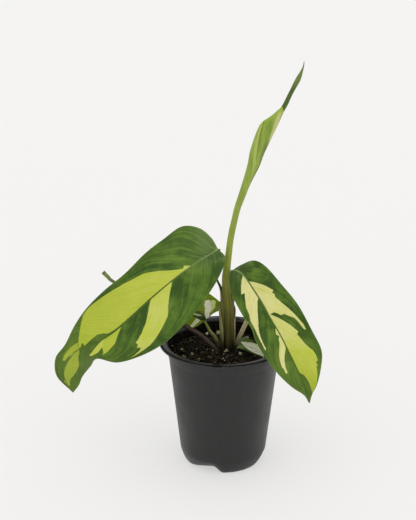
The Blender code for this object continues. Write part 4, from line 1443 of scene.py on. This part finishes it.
rolledFinish = {
    "dark": (0.17, 0.27, 0.028), "light": (0.33, 0.43, 0.075), "hairs": (0.36, 0.44, 0.12),
    # the strip colour is a painted highlight along the free margin
    "foot": (0.268, 0.342, 0.062), "strip": (0.42, 0.50, 0.11), "cream": (0.60, 0.58, 0.22),
    "shaded": (0.11, 0.15, 0.03), "cutEnd": (0.34, 0.48, 0.05), "innerLight": (0.16, 0.24, 0.06),
    # the inner roll from its foot to its dry tip
    "inner": [
        (0.0, (0.11, 0.19, 0.025)), (0.25, (0.065, 0.12, 0.02)), (0.45, (0.07, 0.115, 0.025)),
        (0.65, (0.15, 0.235, 0.045)), (0.86, (0.15, 0.22, 0.05)), (0.93, (0.08, 0.06, 0.035)),
    ],
    # heights, distances from the margin and degrees round the roll over which areas begin and end
    "footEnds": (240, 266), "stripRises": (255, 285), "marginHighlightEnds": (2.2, 2.9),
    "creamRises": (289, 299), "creamEnds": (317, 324), "creamTurns": ((138, 146), (170, 184)),
    "shadeRises": (256, 270), "shadeEnds": (288, 300), "shadeTurns": ((112, 124), (158, 186)),
    "innerHeights": (318, 361),
}


def makeRolledFinish():
    look = rolledFinish
    made, tree = newFinish("rolled_leaf", 0.2)
    bearing, height, core = stored(tree, "bearing", "height", "core")
    fromEdge, fromCut = stored(tree, "fromEdge", "fromCut")
    # side veins climb steeply round the roll
    climb = less(fromEdge, times(height, 0.22))
    veins = speckle(vector(times(climb, 1.1), times(height, 0.035)), 1.0, 4.0, 0.6)
    broad = speckle(vector(times(climb, 0.22), times(height, 0.03), 5.0), 1.0, 2.0, 0.5)
    hairs = speckle(vector(times(climb, 4.5), times(height, 0.08), 9.0), 1.0, 2.0, 0.5)
    tone = plus(times(veins, 0.5), times(broad, 0.6))
    colour = mixed(rescale(tone, 0.40, 0.68), look["dark"], look["light"])
    colour = mixed(rescale(hairs, 0.55, 0.8, 0, 0.3), colour, look["hairs"])
    # low down it takes on the olive of the stalk
    colour = mixed(rescale(height, *look["footEnds"], 0.9, 0.0), colour, look["foot"])
    # a pale strip along the free margin: painted highlight where the raised edge catches the light
    strip = rescale(fromEdge, *look["marginHighlightEnds"], 1.0, 0.0)
    strip = times(strip, rescale(height, *look["stripRises"], 0.25, 0.9))
    colour = mixed(strip, colour, look["strip"])
    # a cream area, and painted shade on the right-hand side
    turned = maths("MODULO", plus(bearing, 120), 360.0)
    ragged = times(less(veins, 0.5), 26.0)
    upright = plus(turned, times(ragged, 0.35), times(less(height, 305), -1.25))
    begin, end = look["creamTurns"]
    cream = times(
        rescale(upright, *begin), rescale(upright, *end, 1.0, 0.0), rescale(height, *look["creamRises"]),
        rescale(height, *look["creamEnds"], 1.0, 0.0), less(1.0, core), 0.9,
    )
    colour = mixed(cream, colour, look["cream"])
    shaded = plus(turned, times(less(height, 280), -0.7), ragged)
    begin, end = look["shadeTurns"]
    dark = times(
        rescale(shaded, *begin), rescale(shaded, *end, 1.0, 0.0), rescale(height, *look["shadeRises"]),
        rescale(height, *look["shadeEnds"], 1.0, 0.0), 0.75,
    )
    colour = mixed(dark, colour, look["shaded"])
    # the open end is brighter
    colour = mixed(rescale(fromCut, 1.2, 4.5, 0.6, 0.0), colour, look["cutEnd"])
    # the inner roll is darker, with a dry tip
    inner = stops(rescale(height, *look["innerHeights"], soft=False), *look["inner"])
    inner = mixed(rescale(veins, 0.45, 0.7, 0, 0.5), inner, look["innerLight"])
    colour = mixed(core, colour, inner)
    roughness = rescale(veins, 0.3, 0.7, 0.35, 0.52)
    return dressed(made, colour, roughness, plus(hairs, times(veins, 1.5)), 0.00022)


curledFinish = {
    "dark": (0.022, 0.050, 0.012), "light": (0.065, 0.11, 0.03),
    "silver": (0.60, 0.66, 0.38), "silverDark": (0.33, 0.40, 0.18),
    # degrees round the roll and heights over which the silvery strip begins and ends
    "stripTurns": ((28, 45), (95, 108)), "stripRises": (134.4, 135.8),
}


def makeCurledFinish():
    # dark green, with a silvery strip along the half that is towards the tip
    look = curledFinish
    made, tree = newFinish("curled_leaf", 0.15)
    bearing, height = stored(tree, "bearing", "height")
    streaks = speckle(vector(times(bearing, 0.09), times(height, 0.25)), 1.0, 3.0, 0.6)
    colour = mixed(rescale(streaks, 0.35, 0.65), look["dark"], look["light"])
    begin, end = look["stripTurns"]
    strip = times(rescale(bearing, *begin), rescale(bearing, *end, 1.0, 0.0))
    strip = times(strip, rescale(height, *look["stripRises"]))
    silver = mixed(rescale(streaks, 0.35, 0.7), look["silver"], look["silverDark"])
    colour = mixed(strip, colour, silver)
    return dressed(made, colour, rescale(streaks, 0.3, 0.7, 0.38, 0.55), streaks, 0.00025)


rolledBlade = joinAll("rolled_leaf_blade", [makeRoll("outer_roll", rolledLeaf), makeCore(rolledLeaf)])
finish(rolledBlade, makeRolledFinish(), "leaf_pale", "leaf_rolled")
finish(makeRoll("curled_leaf_blade", curledLeaf), makeCurledFinish(), "leaf", "leaf_small_curled")
print("rolled leaves are made")
